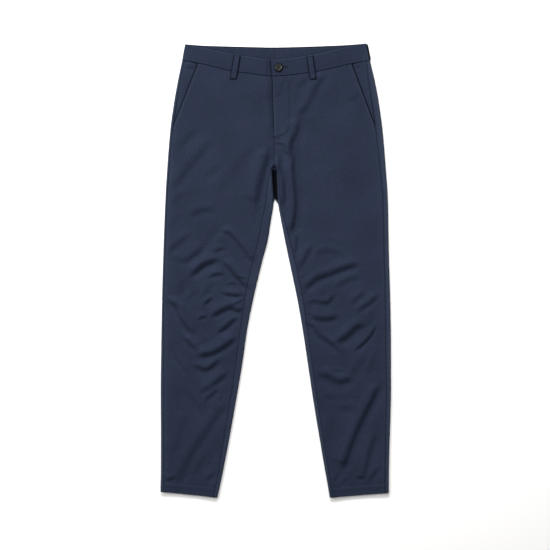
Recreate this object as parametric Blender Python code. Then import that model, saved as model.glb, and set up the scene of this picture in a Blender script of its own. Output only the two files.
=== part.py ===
"""Tapered trousers laid out flat on their back, front side up.

The floor is z = 0, +Y runs to the waist and +X to the wearer's left. Every size below is in
millimetres, and the meshes are scaled to metres as they are made. Each piece of cloth is a grid
laid on its outer skin, worked out from the tables, and thickened to its inner skin.
"""
import math

import bmesh
import bpy
import numpy as np

MM = 0.001

# Walls and clearances.
CLOTH = 1.2            # one ply of twill with its seam turnings
HEM_CLOTH = 2.2        # the turned-up hem's two plies
BAND = 1.8             # the waistband's two plies and stiffener
LOOP = 1.5             # a belt loop's folded strip
GAP = 0.3              # left open at every seam
WAIST_GAP = 0.5        # left open along the curved waist seam

# How the layers stack.
EDGE_TOP = 6.2         # top of the folded side edges
MIDDLE_TOP = 4.9       # top of the front away from the edges
WAIST_TOP = 6.8        # the same just below the waistband
LOWEST_TOP = 3.0       # no trough takes the front lower
EDGE_REACH = 24.0      # how far a folded edge props up the front
BAND_PROUD = 0.6       # the waistband stands above the fronts
CENTRE_RISE = 1.4      # both ends of the waistband lie under the button
CENTRE_REACH = 45.0
LOOP_LIFT = 1.9        # the loops below it keep the stiff back waistband off the floor
LIFT_DROP = 31.0       # how far below the waist seam the back starts down to the floor
LIFT_RAMP = 40.0

# Lengths along the body, measured up from the middle of the outline.
WAIST_Y = 483.2        # side end of the waist seam
HIP_Y = 260.0          # rows are level from here down
FORK_Y = 243.0         # the four leg seams meet
ROLL_Y = 232.0         # the inner leg's roll starts
SEAT_Y = 166.0         # lowest point of the seat between the legs
KNEE_Y = -100.0
CALF_Y = -400.0        # rows start to tilt to the hem
HEM_Y = -510.0
HEM_DEPTH = 21.5

# Across the body.
BACK_SEAM_X = -2.0     # centre back seam
SEAT_TIP = 1.5         # radius of the fold where the seat turns up between the legs
FLY_END_Y = 307.0      # the fly's lap ends and the fronts meet edge to edge
FLY_UNDERLAP = 7.0
FLY_DIP = 22.0         # the right front sinks under the lap over this width
BAND_UNDERLAP_X = 25.0
BAND_DIP = 30.0
POCKET_UNDERLAP = 8.0
POCKET_SLOPE = 25.0
POCKET_END_Y = 333.0

SIDES = {"left": 1, "right": -1}
NAVY = (0.031, 0.040, 0.070, 1.0)
NAVY_SHADE = (0.026, 0.034, 0.060, 1.0)
HORN = (0.030, 0.024, 0.020, 1.0)


def table(columns, *rows):
    """A short table as named columns."""
    return dict(zip(columns.split(), np.array(rows, float).T))


# Outer folded edge of each leg, and how far inside it the side seam runs on top.
OUTER = {
    "left": table(
        "y out seam",
        (530, 207.5, 8.0), (483, 217.2, 9.2), (438, 227.9, 14.2), (392, 236.7, 16.1),
        (323, 246.1, 15.7), (242, 253.0, 13.4), (162, 258.3, 12.0), (47, 260.4, 11.2),
        (-45, 263.1, 11.5), (-160, 265.2, 12.2), (-275, 265.4, 10.8), (-344, 264.0, 10.3),
        (-413, 261.7, 9.2), (-488, 260.6, 9.0), (-530, 260.8, 9.0)),
    "right": table(
        "y out seam",
        (530, 206.5, 5.5), (483, 215.0, 5.5), (449, 222.2, 5.8), (415, 228.9, 6.0),
        (369, 236.4, 6.0), (323, 242.4, 5.6), (242, 248.9, 4.8), (162, 253.7, 4.2),
        (47, 258.1, 4.2), (-45, 260.8, 4.4), (-160, 262.9, 5.6), (-275, 264.3, 6.9),
        (-390, 263.8, 6.9), (-459, 263.8, 6.9), (-491, 264.5, 6.9), (-530, 265.2, 6.9)),
}
# Inner folded edge of each leg, and how wide the back's roll is up to the inseam on top.
INNER = {
    "left": table(
        "y inn roll",
        (260, 0.6, 4.4), (232, 1.6, 4.6), (197, 3.2, 5.4), (169, 4.2, 5.4), (150, 6.4, 5.2),
        (116, 12.4, 7.6), (70, 21.4, 10.6), (24, 31.1, 13.0), (-22, 40.9, 13.8),
        (-68, 50.4, 12.4), (-137, 62.6, 10.8), (-206, 72.9, 10.0), (-298, 86.7, 9.4),
        (-390, 101.9, 8.4), (-459, 113.6, 7.8), (-500, 121.0, 6.6), (-530, 125.8, 5.6)),
    "right": table(
        "y inn roll",
        (260, 9.8, 3.8), (232, 8.6, 4.0), (197, 6.4, 12.0), (169, 4.0, 17.0), (150, 5.2, 18.6),
        (116, 10.6, 20.4), (70, 18.0, 21.2), (24, 30.1, 21.4), (-22, 41.4, 21.0),
        (-68, 52.0, 19.4), (-137, 65.6, 15.6), (-206, 75.4, 14.8), (-298, 90.9, 13.2),
        (-390, 107.2, 12.2), (-459, 120.5, 10.2), (-500, 129.0, 9.6), (-530, 136.0, 9.6)),
}
# Waistline from the wearer's right side to the left: edges of the band in front and behind.
WAIST = table(
    "x front_top front_seam back_top back_seam",
    (-212, 521.0, 482.9, 520.6, 482.7), (-165, 511.3, 473.4, 517.0, 479.7),
    (-100, 497.4, 457.2, 514.2, 476.6), (-8, 484.3, 446.7, 511.0, 473.0),
    (72, 493.2, 454.4, 514.2, 476.2), (125, 505.1, 465.2, 516.5, 478.6),
    (165, 513.9, 474.2, 518.4, 480.3), (214, 523.0, 482.8, 522.6, 483.0))
BAND_TOP = {"left": (209.1, 522.0), "right": (208.4, 520.0)}      # top corner of each side fold
FLY = table("y x", (530, -11.4), (483, -11.0), (447, -9.0), (438, -6.2), (307, -4.1), (243, -3.7))
POCKET_MOUTH = {"left": table("y p", (473.6, 175.0), (330.5, 229.3)),
                "right": table("y p", (473.6, 179.6), (332.6, 235.3))}
HEM_LINE = {"left": table("p y", (124.4, -522.8), (260.8, -511.8)),
            "right": table("p y", (133.2, -522.6), (265.2, -508.8))}
# Rows of the grids, level by level from the waist to the hem.
LEVELS = table("start stop rows", (WAIST_Y, 264, 12), (252, 222, 4), (209, 128, 6),
               (113, -262, 25), (-282, HEM_Y + HEM_DEPTH, 10))
# Belt loops on the front, middle line from top to bottom, and those below the back.
FRONT_LOOPS = {"left": ((78.2, 496.0), (85.3, 437.5)), "right": ((-89.9, 498.0), (-95.5, 438.6))}
LOOP_WIDTH = 13.5
LOOP_DROP = 17.0       # how far a loop reaches below the waist seam
BACK_LOOP_X = BACK_SEAM_X
SIDE_LOOP_X = -182.0
LEFT_LOOP_FLAT = 9.0   # flat part of the left side loop, which turns up round the fold
BUTTON_X, BUTTON_Y = 7.1, 467.8
BUTTON_RADIUS = 9.25
BUTTON_HOLE = 0.9
BUTTON_HOLE_OFFSET = 1.7

# Largest folds of the front. The cloth is raised on the left of the way from start to end.
FOLDS = table(
    "x0 y0 x1 y1 x2 y2 rise reach",
    (-196, -20, -160, 14, -122, 26, 2.4, 10), (-122, 26, -98, -6, -66, -42, 2.6, 9),
    (-124, -52, -98, -57, -70, -58, 2.0, 9), (-182, -114, -124, -88, -77, -102, 3.0, 10),
    (-140, -144, -114, -131, -82, -106, 2.2, 9), (-250, -64, -220, -113, -188, -150, 2.2, 11),
    (-184, -192, -140, -190, -88, -152, 3.2, 10), (-190, -217, -160, -224, -122, -197, 1.8, 9),
    (-172, -280, -142, -264, -107, -234, 1.6, 11), (-222, -484, -176, -396, -114, -305, 1.7, 14),
    (-128, 89, -96, 77, -57, 23, 2.2, 9), (-231, 189, -201, 238, -146, 305, 1.3, 16),
    (-43, 150, -33, 225, -18, 277, 1.4, 13), (64, -45, 112, -13, 196, 13, 2.8, 11),
    (72, -109, 112, -113, 150, -103, 2.4, 9), (72, -112, 108, -152, 153, -195, 2.6, 11),
    (188, -98, 212, -82, 236, -57, 2.0, 10), (140, -163, 172, -152, 208, -130, 2.6, 12),
    (178, -186, 208, -164, 231, -125, 1.8, 9), (93, -236, 130, -247, 176, -252, 2.4, 12),
    (153, -457, 190, -358, 240, -263, 2.0, 14), (97, 38, 124, 48, 160, 31, 1.4, 12),
    (38, 93, 46, 215, 52, 353, 1.6, 16))
# Fullness over the knees.
PUFFS = table("x y across along rise", (-140, -100, 85, 190, 1.7), (150, -110, 80, 190, 1.7))


def smooth(t):
    """Soft step from 0 to 1."""
    t = np.clip(t, 0.0, 1.0)
    return t * t * (3.0 - 2.0 * t)


def curve(at, xs, ys):
    """Smooth curve through points that doesn't overshoot them, held level past its ends."""
    order = np.argsort(xs)
    xs, ys = xs[order], ys[order]
    run = np.diff(xs)
    slope = np.diff(ys) / run
    product = slope[:-1] * slope[1:]
    total = slope[:-1] + slope[1:]
    inside = np.where(product > 0, 2.0 * product / np.where(product > 0, total, 1.0), 0.0)
    tangent = np.concatenate([slope[:1], inside, slope[-1:]])
    at = np.clip(at, xs[0], xs[-1])
    k = np.clip(np.searchsorted(xs, at) - 1, 0, len(run) - 1)
    t = (at - xs[k]) / run[k]
    rest = 1.0 - t
    return (ys[k] * (1.0 + 2.0 * t) * rest ** 2 + run[k] * tangent[k] * t * rest ** 2
            + ys[k + 1] * (3.0 - 2.0 * t) * t ** 2 - run[k] * tangent[k + 1] * rest * t ** 2)


def out_edge(side, y):
    return curve(y, OUTER[side]["y"], OUTER[side]["out"])


def side_seam(side, y):
    return out_edge(side, y) - curve(y, OUTER[side]["y"], OUTER[side]["seam"])


def inner_edge(side, y):
    return curve(y, INNER[side]["y"], INNER[side]["inn"])


def inseam(side, y):
    return inner_edge(side, y) + curve(y, INNER[side]["y"], INNER[side]["roll"])


def waistline(edge, x):
    return curve(x, WAIST["x"], WAIST[edge])


def fly_line(y):
    return curve(y, FLY["y"], FLY["x"])


def pocket_mouth(side, y):
    """Straight line of the slant pocket's mouth, run on past both ends."""
    (top_y, end_y), (top_p, end_p) = POCKET_MOUTH[side]["y"], POCKET_MOUTH[side]["p"]
    return end_p + (top_p - end_p) * (y - end_y) / (top_y - end_y)


def hem_line(side, p):
    """Straight line of the hem's lower edge."""
    (in_p, out_p), (in_y, out_y) = HEM_LINE[side]["p"], HEM_LINE[side]["y"]
    return in_y + (out_y - in_y) * (p - in_p) / (out_p - in_p)


def fold_relief(x, y):
    """Sum of the front's folds: raised on one side of each line and sunk on the other."""
    relief = np.zeros(np.shape(x))
    steps = np.linspace(0.0, 1.0, 13)
    for x0, y0, x1, y1, x2, y2, rise, reach in zip(*FOLDS.values()):
        start, middle, end = (1 - steps) * (1 - 2 * steps), 4 * steps * (1 - steps), steps * (2 * steps - 1)
        line_x = start * x0 + middle * x1 + end * x2
        line_y = start * y0 + middle * y1 + end * y2
        way_x, way_y = np.gradient(line_x), np.gradient(line_y)
        size = np.hypot(way_x, way_y)
        away_x, away_y = x[..., None] - line_x, y[..., None] - line_y
        nearest = np.argmin(away_x ** 2 + away_y ** 2, axis=-1)[..., None]
        side = (way_x * away_y - way_y * away_x) / size
        ahead = (way_x * away_x + way_y * away_y) / size
        side = np.take_along_axis(side, nearest, -1)[..., 0] / reach
        ahead = np.take_along_axis(ahead, nearest, -1)[..., 0] / reach
        share = steps[nearest[..., 0]]
        fade = smooth(4.0 * share + 0.3) * smooth(4.0 * (1.0 - share) + 0.3)
        relief += rise * fade * side * np.exp(0.5 - 0.5 * side ** 2 - 0.5 * ahead ** 2)
    return relief


def height(x, y):
    """Top of the front layer at a place: propped by the folded edges, full at the knees."""
    x, y = np.broadcast_arrays(np.asarray(x, float), np.asarray(y, float))
    radius = EDGE_TOP / 2.0
    left = x > fly_line(y)
    out = np.where(left, out_edge("left", y) - x, out_edge("right", y) + x)
    inn = np.where(left, x - inner_edge("left", y), -x - inner_edge("right", y))
    below_fork = smooth((FORK_Y + 10.0 - y) / 40.0)
    prop_out = np.exp(-((np.maximum(out - radius, 0.0)) / EDGE_REACH) ** 2)
    prop_in = below_fork * np.exp(-((np.maximum(inn - radius, 0.0)) / EDGE_REACH) ** 2)
    prop = prop_out + prop_in - prop_out * prop_in
    middle = MIDDLE_TOP + (WAIST_TOP - MIDDLE_TOP) * smooth((y - 370.0) / 70.0)
    puff = np.zeros(x.shape)
    for px, py, across, along, rise in zip(*PUFFS.values()):
        puff += rise * np.exp(-((x - px) / across) ** 2 - ((y - py) / along) ** 2)
    free = smooth((out - 3.0) / 18.0) * (1.0 - below_fork * (1.0 - smooth((inn - 3.0) / 18.0)))
    centre = CENTRE_RISE * smooth((y - 390.0) / 60.0) * np.exp(-(x / CENTRE_REACH) ** 2)
    top = middle + (EDGE_TOP - middle) * prop + centre + free * (puff + fold_relief(x, y))
    return 0.5 * (top + LOWEST_TOP + np.sqrt((top - LOWEST_TOP) ** 2 + 0.36))


def floor_lift(x, y):
    """How far the back layer lies off the floor, near the belt loops below it."""
    foot = waistline("back_seam", x) - LIFT_DROP - LIFT_RAMP
    return LOOP_LIFT * smooth((y - foot) / LIFT_RAMP)


def row_shift(side, level, p, under):
    """How far a point of a row lies off its level, from the waist's dip and the hem's tilt."""
    x = SIDES[side] * p
    dip = (1.0 - under) * waistline("front_seam", x) + under * waistline("back_seam", x) - WAIST_Y
    dip = np.minimum(dip, 0.0) - WAIST_GAP / 2.0
    tilt = hem_line(side, p) - HEM_Y
    return dip * smooth((level - HIP_Y) / (WAIST_Y - HIP_Y)) + tilt * smooth((CALF_Y - level) / (CALF_Y - HEM_Y))


def settle(side, level, under, place):
    """Distance from the middle and height along the body that agree for a column of points."""
    y = level
    for _ in range(5):
        p = place(y)
        y = level + row_shift(side, level, p, under)
    return p, y


def wall_at(level):
    """The cloth's thickness: two plies in the turned-up hem."""
    return np.where(level < HEM_Y + HEM_DEPTH + 0.2, HEM_CLOTH, CLOTH)


def cloth_levels(every=1):
    """Levels of the rows; a coarser set keeps those round the fork."""
    rows = [np.linspace(start, stop, int(count)) for start, stop, count in zip(*LEVELS.values())]
    levels = np.concatenate(rows)
    near_fork = (levels < FORK_Y + 20.0) & (levels > 0.0)
    keep = near_fork | (np.arange(len(levels)) % every == 0)
    keep[-1] = True
    step = np.array([HEM_Y + HEM_DEPTH - 1.0, HEM_Y])
    return np.concatenate([levels[keep], step])


def paint(name, colour, roughness):
    """The piece's own material."""
    material = bpy.data.materials.new(name)
    material.use_nodes = True
    shader = material.node_tree.nodes["Principled BSDF"]
    shader.inputs["Base Color"].default_value = colour
    shader.inputs["Roughness"].default_value = roughness
    shader.inputs["Metallic"].default_value = 0.0
    return material


def finish(name, bm, colour, roughness=0.9):
    """Object of a finished piece, smooth but for its rims."""
    bmesh.ops.recalc_face_normals(bm, faces=bm.faces)
    mesh = bpy.data.meshes.new(name)
    bm.to_mesh(mesh)
    bm.free()
    mesh.shade_smooth()
    mesh.set_sharp_from_angle(angle=math.radians(50))
    mesh.materials.append(paint(name, colour, roughness))
    piece = bpy.data.objects.new(name, mesh)
    bpy.context.collection.objects.link(piece)
    return piece


def wall(name, outer, inner, colour, corner=None):
    """A ply of cloth between two skins, each an array of rows and columns of points.

    corner=(row, column) leaves out the cells above that row and past that column.
    """
    rows, columns = outer.shape[0] - 1, outer.shape[1] - 1
    bm = bmesh.new()
    row_of = bm.verts.layers.int.new("row")
    column_of = bm.verts.layers.int.new("column")
    bmesh.ops.create_grid(bm, x_segments=columns, y_segments=rows, size=1.0)
    for vert in bm.verts:
        vert[column_of] = round((vert.co.x + 1.0) / 2.0 * columns)
        vert[row_of] = round((vert.co.y + 1.0) / 2.0 * rows)
    if corner:
        left_out = [face for face in bm.faces
                    if min(v[row_of] for v in face.verts) < corner[0]
                    and min(v[column_of] for v in face.verts) >= corner[1]]
        bmesh.ops.delete(bm, geom=left_out, context="FACES")
    inside = bmesh.ops.extrude_face_region(bm, geom=bm.faces[:])["geom"]
    new = {element for element in inside if isinstance(element, bmesh.types.BMVert)}
    for vert in bm.verts:
        skin = inner if vert in new else outer
        vert.co = skin[vert[row_of], vert[column_of]] * MM
    return finish(name, bm, colour)


def skin(x, y, z):
    return np.stack(np.broadcast_arrays(x, y, z), axis=-1)


def front(side):
    """Front panel: fly or crotch and inseam within, pocket mouth and side seam outside."""
    levels = cloth_levels()[:, None]
    across = np.linspace(0.0, 1.0, 15)[None, :]

    def inside(y):
        middle = fly_line(y) if side == "left" else -fly_line(y)
        if side == "right":
            middle = middle + GAP - (FLY_UNDERLAP + GAP) * smooth((y - FLY_END_Y - 2.0) / 10.0)
        leg = inseam(side, y) + GAP / 2.0
        return np.where(y > FORK_Y, middle, np.where(y > ROLL_Y, middle + (leg - middle)
                        * (FORK_Y - y) / (FORK_Y - ROLL_Y), leg))

    def outside(y):
        return np.minimum(pocket_mouth(side, y), side_seam(side, y) - GAP / 2.0)

    p, y = settle(side, levels, 0.0, lambda y: inside(y) + (outside(y) - inside(y)) * across)
    x = SIDES[side] * p
    top = height(x, y)
    if side == "right":
        under = smooth((x - fly_line(y) + FLY_DIP) / (FLY_DIP - 2.0))
        top = top - (CLOTH + 1.5 * GAP) * under * smooth((y - FLY_END_Y + 20.0) / 20.0)
    return wall("front_" + side, skin(x, y, top), skin(x, y, top - wall_at(levels)), NAVY)


def back(side):
    """Back panel: from the side seam on top, round the outer fold, along the floor to the
    centre seam, and on the leg round the inner fold to the inseam on top."""
    levels = cloth_levels(every=2)
    sign = SIDES[side]
    ply = wall_at(levels)
    centre = sign * BACK_SEAM_X + GAP / 2.0
    outer, inner = [], []

    def add(p, y, z, inward_p, inward_z):
        outer.append(skin(sign * p, y, z))
        inner.append(skin(sign * (p + ply * inward_p), y, z + ply * inward_z))

    def radius(y):
        return (EDGE_TOP - floor_lift(sign * out_edge(side, y), y)) / 2.0

    for share in (0.0, 0.5):
        p, y = settle(side, levels, 0.0, lambda y: side_seam(side, y) + GAP / 2.0
                      + (out_edge(side, y) - radius(y) - side_seam(side, y) - GAP / 2.0) * share)
        add(p, y, height(sign * p, y), 0.0, -1.0)
    for turn in np.radians((90.0, 54.0, 18.0, -18.0, -54.0, -90.0)):
        p, y = settle(side, levels, 0.5 - 0.5 * math.sin(turn), lambda y: out_edge(side, y)
                      - radius(y) * (1.0 - math.cos(turn)))
        add(p, y, EDGE_TOP - radius(y) * (1.0 - math.sin(turn)), -math.cos(turn), -math.sin(turn))

    leg_radius = EDGE_TOP / 2.0
    seat = smooth((levels - SEAT_Y + 14.0) / 14.0)
    on_leg = levels < FORK_Y - 1.0

    def floor_end(y):
        open_end = np.where(on_leg, inner_edge(side, y) + leg_radius, centre)
        tip_end = np.where(on_leg, centre + SEAT_TIP, centre)
        return open_end + (tip_end - open_end) * seat

    for share in (0.12, 0.3, 0.55, 0.78, 1.0):
        p, y = settle(side, levels, 1.0, lambda y: out_edge(side, y) - radius(y)
                      + (floor_end(y) - out_edge(side, y) + radius(y)) * share)
        add(p, y, floor_lift(sign * p, y), 0.0, 1.0)
    flat_columns = len(outer) - 1

    for step in range(1, 7):
        turn = math.radians(30.0 * step - 90.0)
        tip = math.radians(60.0 * min(step, 3) - 90.0)
        rise = max(step - 3, 0) / 3.0
        p, y = settle(side, levels, 1.0, lambda y: inner_edge(side, y) + leg_radius * (1.0 - math.cos(turn)))
        crest = inner_edge(side, y) + leg_radius
        seat_p = centre + SEAT_TIP * (1.0 - math.cos(tip)) + (crest - centre - SEAT_TIP) * rise
        seat_z = SEAT_TIP * (1.0 + math.sin(tip)) + (EDGE_TOP - 2.0 * SEAT_TIP) * smooth(rise)
        leg_z = leg_radius * (1.0 + math.sin(turn))
        add(p + (seat_p - p) * seat, y, leg_z + (seat_z - leg_z) * seat,
            math.cos(turn) + (math.cos(tip) - math.cos(turn)) * seat,
            -math.sin(turn) + (math.sin(turn) - math.sin(tip)) * seat)
    for share in (0.5, 1.0):
        p, y = settle(side, levels, 0.0, lambda y: inner_edge(side, y) + leg_radius
                      + (inseam(side, y) - GAP / 2.0 - inner_edge(side, y) - leg_radius) * share)
        add(p, y, height(sign * p, y), 0.0, -1.0)
    fork_row = int(np.argmax(levels < ROLL_Y + 0.5))
    return wall("back_" + side, np.stack(outer, axis=1), np.stack(inner, axis=1), NAVY_SHADE,
                corner=(fork_row, flat_columns))


def pocket(side):
    """Facing of the slant pocket: just under the front's edge, up to the side seam."""
    levels = np.linspace(WAIST_Y, POCKET_END_Y, 10)[:, None]
    across = np.linspace(0.0, 1.0, 5)[None, :]
    p, y = settle(side, levels, 0.0, lambda y: pocket_mouth(side, y) - POCKET_UNDERLAP
                  + (side_seam(side, y) - GAP / 2.0 - pocket_mouth(side, y) + POCKET_UNDERLAP) * across)
    x = SIDES[side] * p
    sunk = 1.0 - smooth((p - pocket_mouth(side, y)) / POCKET_SLOPE)
    top = height(x, y) - (CLOTH + 1.5 * GAP) * sunk
    return wall("pocket_" + side, skin(x, y, top), skin(x, y, top - CLOTH), NAVY_SHADE)


def waistband(side):
    """Half of the waistband: from the centre back along the floor, round the side fold and
    along the top to the centre front, where the left half laps over the right."""
    sign = SIDES[side]
    up = np.linspace(0.0, 1.0, 4)
    low_out = float(out_edge(side, WAIST_Y))
    top_out, top_y = BAND_TOP[side]
    out = low_out + (top_out - low_out) * up
    centre = sign * BACK_SEAM_X + GAP / 2.0
    lift = floor_lift(sign * low_out, WAIST_Y)
    band_top = EDGE_TOP + BAND_PROUD
    radius = (band_top - lift) / 2.0
    end = float(fly_line(WAIST_Y)) if side == "left" else -BAND_UNDERLAP_X
    outer, inner = [], []

    def edge_y(p, under):
        x = sign * p
        seam = (1 - under) * waistline("front_seam", x) + under * waistline("back_seam", x)
        top = (1 - under) * waistline("front_top", x) + under * waistline("back_top", x)
        near_fold = smooth((p - low_out + 30.0) / 30.0)
        top = top + (top_y - top) * near_fold
        return seam + WAIST_GAP / 2.0 + (top - seam - WAIST_GAP / 2.0) * up

    def add(p, y, z, inward_p, inward_z):
        outer.append(skin(sign * p, y, z))
        inner.append(skin(sign * (p + BAND * inward_p), y, z + BAND * inward_z))

    for share in np.linspace(0.0, 1.0, 12):
        p = centre + (out - radius - centre) * share
        add(p, edge_y(p, 1.0), floor_lift(sign * p, WAIST_Y), 0.0, 1.0)
    for turn in np.radians((-54.0, -18.0, 18.0, 54.0)):
        p = out - radius * (1.0 - math.cos(turn))
        add(p, edge_y(p, 0.5 - 0.5 * math.sin(turn)), band_top - radius * (1.0 - math.sin(turn)),
            -math.cos(turn), -math.sin(turn))
    for share in np.linspace(0.0, 1.0, 16):
        p = out - radius + (end - out + radius) * share
        x = sign * p
        y = edge_y(p, 0.0)
        z = height(x, waistline("front_seam", x)) + BAND_PROUD
        if side == "right":
            lap_start = fly_line(WAIST_Y) - BAND_DIP
            z = z - (BAND + 1.3 * GAP) * smooth((x - lap_start) / (BAND_DIP - 4.0))
        add(p, y, z, 0.0, -1.0)
    return wall("waistband_" + side, np.stack(outer, axis=1), np.stack(inner, axis=1), NAVY)


def front_loop(side):
    """Belt loop on the front: a strip on the waistband that ends below the waist seam."""
    (top_x, top_y), (end_x, end_y) = FRONT_LOOPS[side]
    along = np.linspace(0.0, 1.0, 11)[:, None]
    across = np.linspace(-0.5, 0.5, 3)[None, :] * LOOP_WIDTH
    x = top_x + (end_x - top_x) * along + across
    y = top_y + (end_y - top_y) * along + across * (end_x - top_x) / (top_y - end_y)
    seam = waistline("front_seam", x)
    on_band = smooth((y - seam + 8.0) / 8.0)
    base = height(x, np.minimum(y, seam)) + BAND_PROUD * on_band + 1.4 * GAP
    bulge = 0.5 * np.sin(np.pi * along) ** 2
    return wall("loop_front_" + side, skin(x, y, base + bulge + LOOP), skin(x, y, base + bulge), NAVY)


def flat_loop(name, centre):
    """Belt loop under the back: a strip that lies on the floor."""
    top = float(waistline("back_top", centre)) - 1.0
    end = float(waistline("back_seam", centre)) - LOOP_DROP
    x = centre + np.linspace(-0.5, 0.5, 3)[None, :] * LOOP_WIDTH
    y = np.linspace(top, end, 5)[:, None]
    return wall(name, skin(x, y, 0.0), skin(x, y, LOOP), NAVY)


def left_side_loop():
    """Belt loop at the left side: flat on the floor, then turned up round the fold's edge."""
    rows = np.linspace(0.0, 1.0, 5)[:, None]
    top_out, top_y = BAND_TOP["left"]
    y = top_y - 1.5 + (WAIST_Y - LOOP_DROP - top_y + 1.5) * rows
    on_band = np.clip((y - WAIST_Y) / (top_y - WAIST_Y), 0.0, 1.0)
    low_out = out_edge("left", np.minimum(y, WAIST_Y))
    out = low_out + (top_out - low_out) * on_band
    radius = (EDGE_TOP + BAND_PROUD - LOOP_LIFT) / 2.0
    middle_z = LOOP_LIFT + radius
    near, far = radius + 1.3 * GAP, radius + 1.3 * GAP + LOOP
    outer, inner = [], []
    for flat in (LEFT_LOOP_FLAT, LEFT_LOOP_FLAT / 2.0):
        outer.append(skin(out - radius - flat, y, middle_z - far))
        inner.append(skin(out - radius - flat, y, middle_z - near))
    for turn in np.radians((-90.0, -60.0, -30.0, 0.0)):
        for layer, reach in ((outer, far), (inner, near)):
            layer.append(skin(out - radius + reach * math.cos(turn), y, middle_z + reach * math.sin(turn)))
    return wall("loop_side_left", np.concatenate(outer, axis=1), np.concatenate(inner, axis=1), NAVY)


def button():
    """Turned button, dished inside its rim, with four holes for the thread."""
    profile = ((0.0, 0.0), (0.80, 0.0), (0.95, 0.10), (1.0, 0.45), (0.95, 0.85), (0.86, 1.0),
               (0.74, 0.95), (0.62, 0.66), (0.30, 0.62), (0.0, 0.62))
    thick = 3.0
    sides = 28
    middle = np.array([BUTTON_X, BUTTON_Y])
    around = np.radians(np.arange(0, 360, 45))
    rim_x = middle[0] + BUTTON_RADIUS * np.cos(around)
    rim_y = middle[1] + BUTTON_RADIUS * np.sin(around)
    seat = float(np.max(height(rim_x, np.minimum(rim_y, waistline("front_seam", rim_x)))))
    base = seat + BAND_PROUD + 2.0 * GAP
    bm = bmesh.new()
    points = [bm.verts.new((r * BUTTON_RADIUS * MM, 0.0, z * thick * MM)) for r, z in profile]
    edges = [bm.edges.new(pair) for pair in zip(points, points[1:])]
    bmesh.ops.spin(bm, geom=points + edges, cent=(0, 0, 0), axis=(0, 0, 1), angle=2 * math.pi,
                   steps=sides, use_merge=True, use_duplicate=False)
    bmesh.ops.remove_doubles(bm, verts=bm.verts, dist=0.00001)
    piece = finish("button", bm, HORN, 0.35)
    piece.location = (BUTTON_X * MM, BUTTON_Y * MM, base * MM)
    for number, turn in enumerate(np.radians((45, 135, 225, 315))):
        cutter_mesh = bpy.data.meshes.new("button_hole")
        bm = bmesh.new()
        bmesh.ops.create_cone(bm, cap_ends=True, segments=8, radius1=BUTTON_HOLE * MM,
                              radius2=BUTTON_HOLE * MM, depth=3.0 * thick * MM)
        bm.to_mesh(cutter_mesh)
        bm.free()
        cutter = bpy.data.objects.new("button_hole_%d" % number, cutter_mesh)
        bpy.context.collection.objects.link(cutter)
        cutter.parent = piece
        reach = BUTTON_HOLE_OFFSET * math.sqrt(2.0) * MM
        cutter.location = (reach * math.cos(turn), reach * math.sin(turn), 0.0)
        cutter.hide_render = True
        cutter.display_type = "WIRE"
        cut = piece.modifiers.new("hole_%d" % number, "BOOLEAN")
        cut.operation = "DIFFERENCE"
        cut.object = cutter
    return piece


def clear_scene():
    for piece in list(bpy.data.objects):
        bpy.data.objects.remove(piece, do_unlink=True)


clear_scene()
for side_name in SIDES:
    front(side_name)
    back(side_name)
    pocket(side_name)
    waistband(side_name)
    front_loop(side_name)
flat_loop("loop_back", BACK_LOOP_X)
flat_loop("loop_side_right", SIDE_LOOP_X)
left_side_loop()
button()
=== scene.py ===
import math

import bmesh
import bpy
import numpy as np
from mathutils import Matrix, Vector


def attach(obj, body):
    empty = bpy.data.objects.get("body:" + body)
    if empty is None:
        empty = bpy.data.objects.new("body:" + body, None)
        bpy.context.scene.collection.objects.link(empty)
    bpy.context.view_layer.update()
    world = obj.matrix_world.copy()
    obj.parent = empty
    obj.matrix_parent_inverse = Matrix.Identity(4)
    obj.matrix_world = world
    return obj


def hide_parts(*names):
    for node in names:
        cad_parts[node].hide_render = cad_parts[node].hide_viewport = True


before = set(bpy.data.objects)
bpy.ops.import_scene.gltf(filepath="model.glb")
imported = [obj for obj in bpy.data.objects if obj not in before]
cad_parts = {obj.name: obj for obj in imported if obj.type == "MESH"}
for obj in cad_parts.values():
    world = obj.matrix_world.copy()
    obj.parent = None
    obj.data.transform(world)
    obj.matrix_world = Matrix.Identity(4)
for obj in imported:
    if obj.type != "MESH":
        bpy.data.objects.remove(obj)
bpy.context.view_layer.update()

# Studio. The trousers lie on a pale table under a camera that looks straight down. A wide soft light low
# beyond the waist rakes the cloth, a weak one on the left throws soft shadows, and the rest comes evenly
# from above.
MM = 0.001
PICTURE_WIDTH = 1265 * MM
CAMERA_X, CAMERA_Y, CAMERA_Z = -1.4 * MM, -10.6 * MM, 3500 * MM
CLOTH_LEVEL = 5 * MM
SENSOR = 36.0
TABLE_SIZE = 3.0
TABLE_DROP = 0.3 * MM  # the table lies just under the cloth
LIGHTS = {
    # where it is, where it points, its width and height, its power
    "key": ((-0.55, 3.60, 2.00), (0.0, 0.0, 0.0), (3.3, 0.9), 267.0),
    "side": ((-1.80, 0.60, 1.20), (0.0, 0.0, 0.0), (0.4, 1.3), 28.0),
    "overhead": ((0.25, 0.08, 1.35), (0.25, 0.08, 0.0), (1.4, 1.2), 9.9),
}
LIGHT_COLOUR = (1.0, 0.99, 0.975)
FILL = 0.16
FILL_COLOUR = (0.97, 0.985, 1.0, 1.0)


def set_inputs(node, sockets):
    """Links a shader node's inputs to other nodes' outputs, or sets their values."""
    for name, value in sockets.items():
        socket = node.inputs[name.replace("_", " ")]
        if isinstance(value, bpy.types.NodeSocket):
            node.id_data.links.new(value, socket)
        else:
            socket.default_value = value


def add_node(material, kind, output, settings=None, **sockets):
    """Output of a new shader node with its settings and inputs."""
    made = material.node_tree.nodes.new("ShaderNode" + kind)
    for name, value in (settings or {}).items():
        setattr(made, name, value)
    set_inputs(made, sockets)
    return made.outputs[output]


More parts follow.
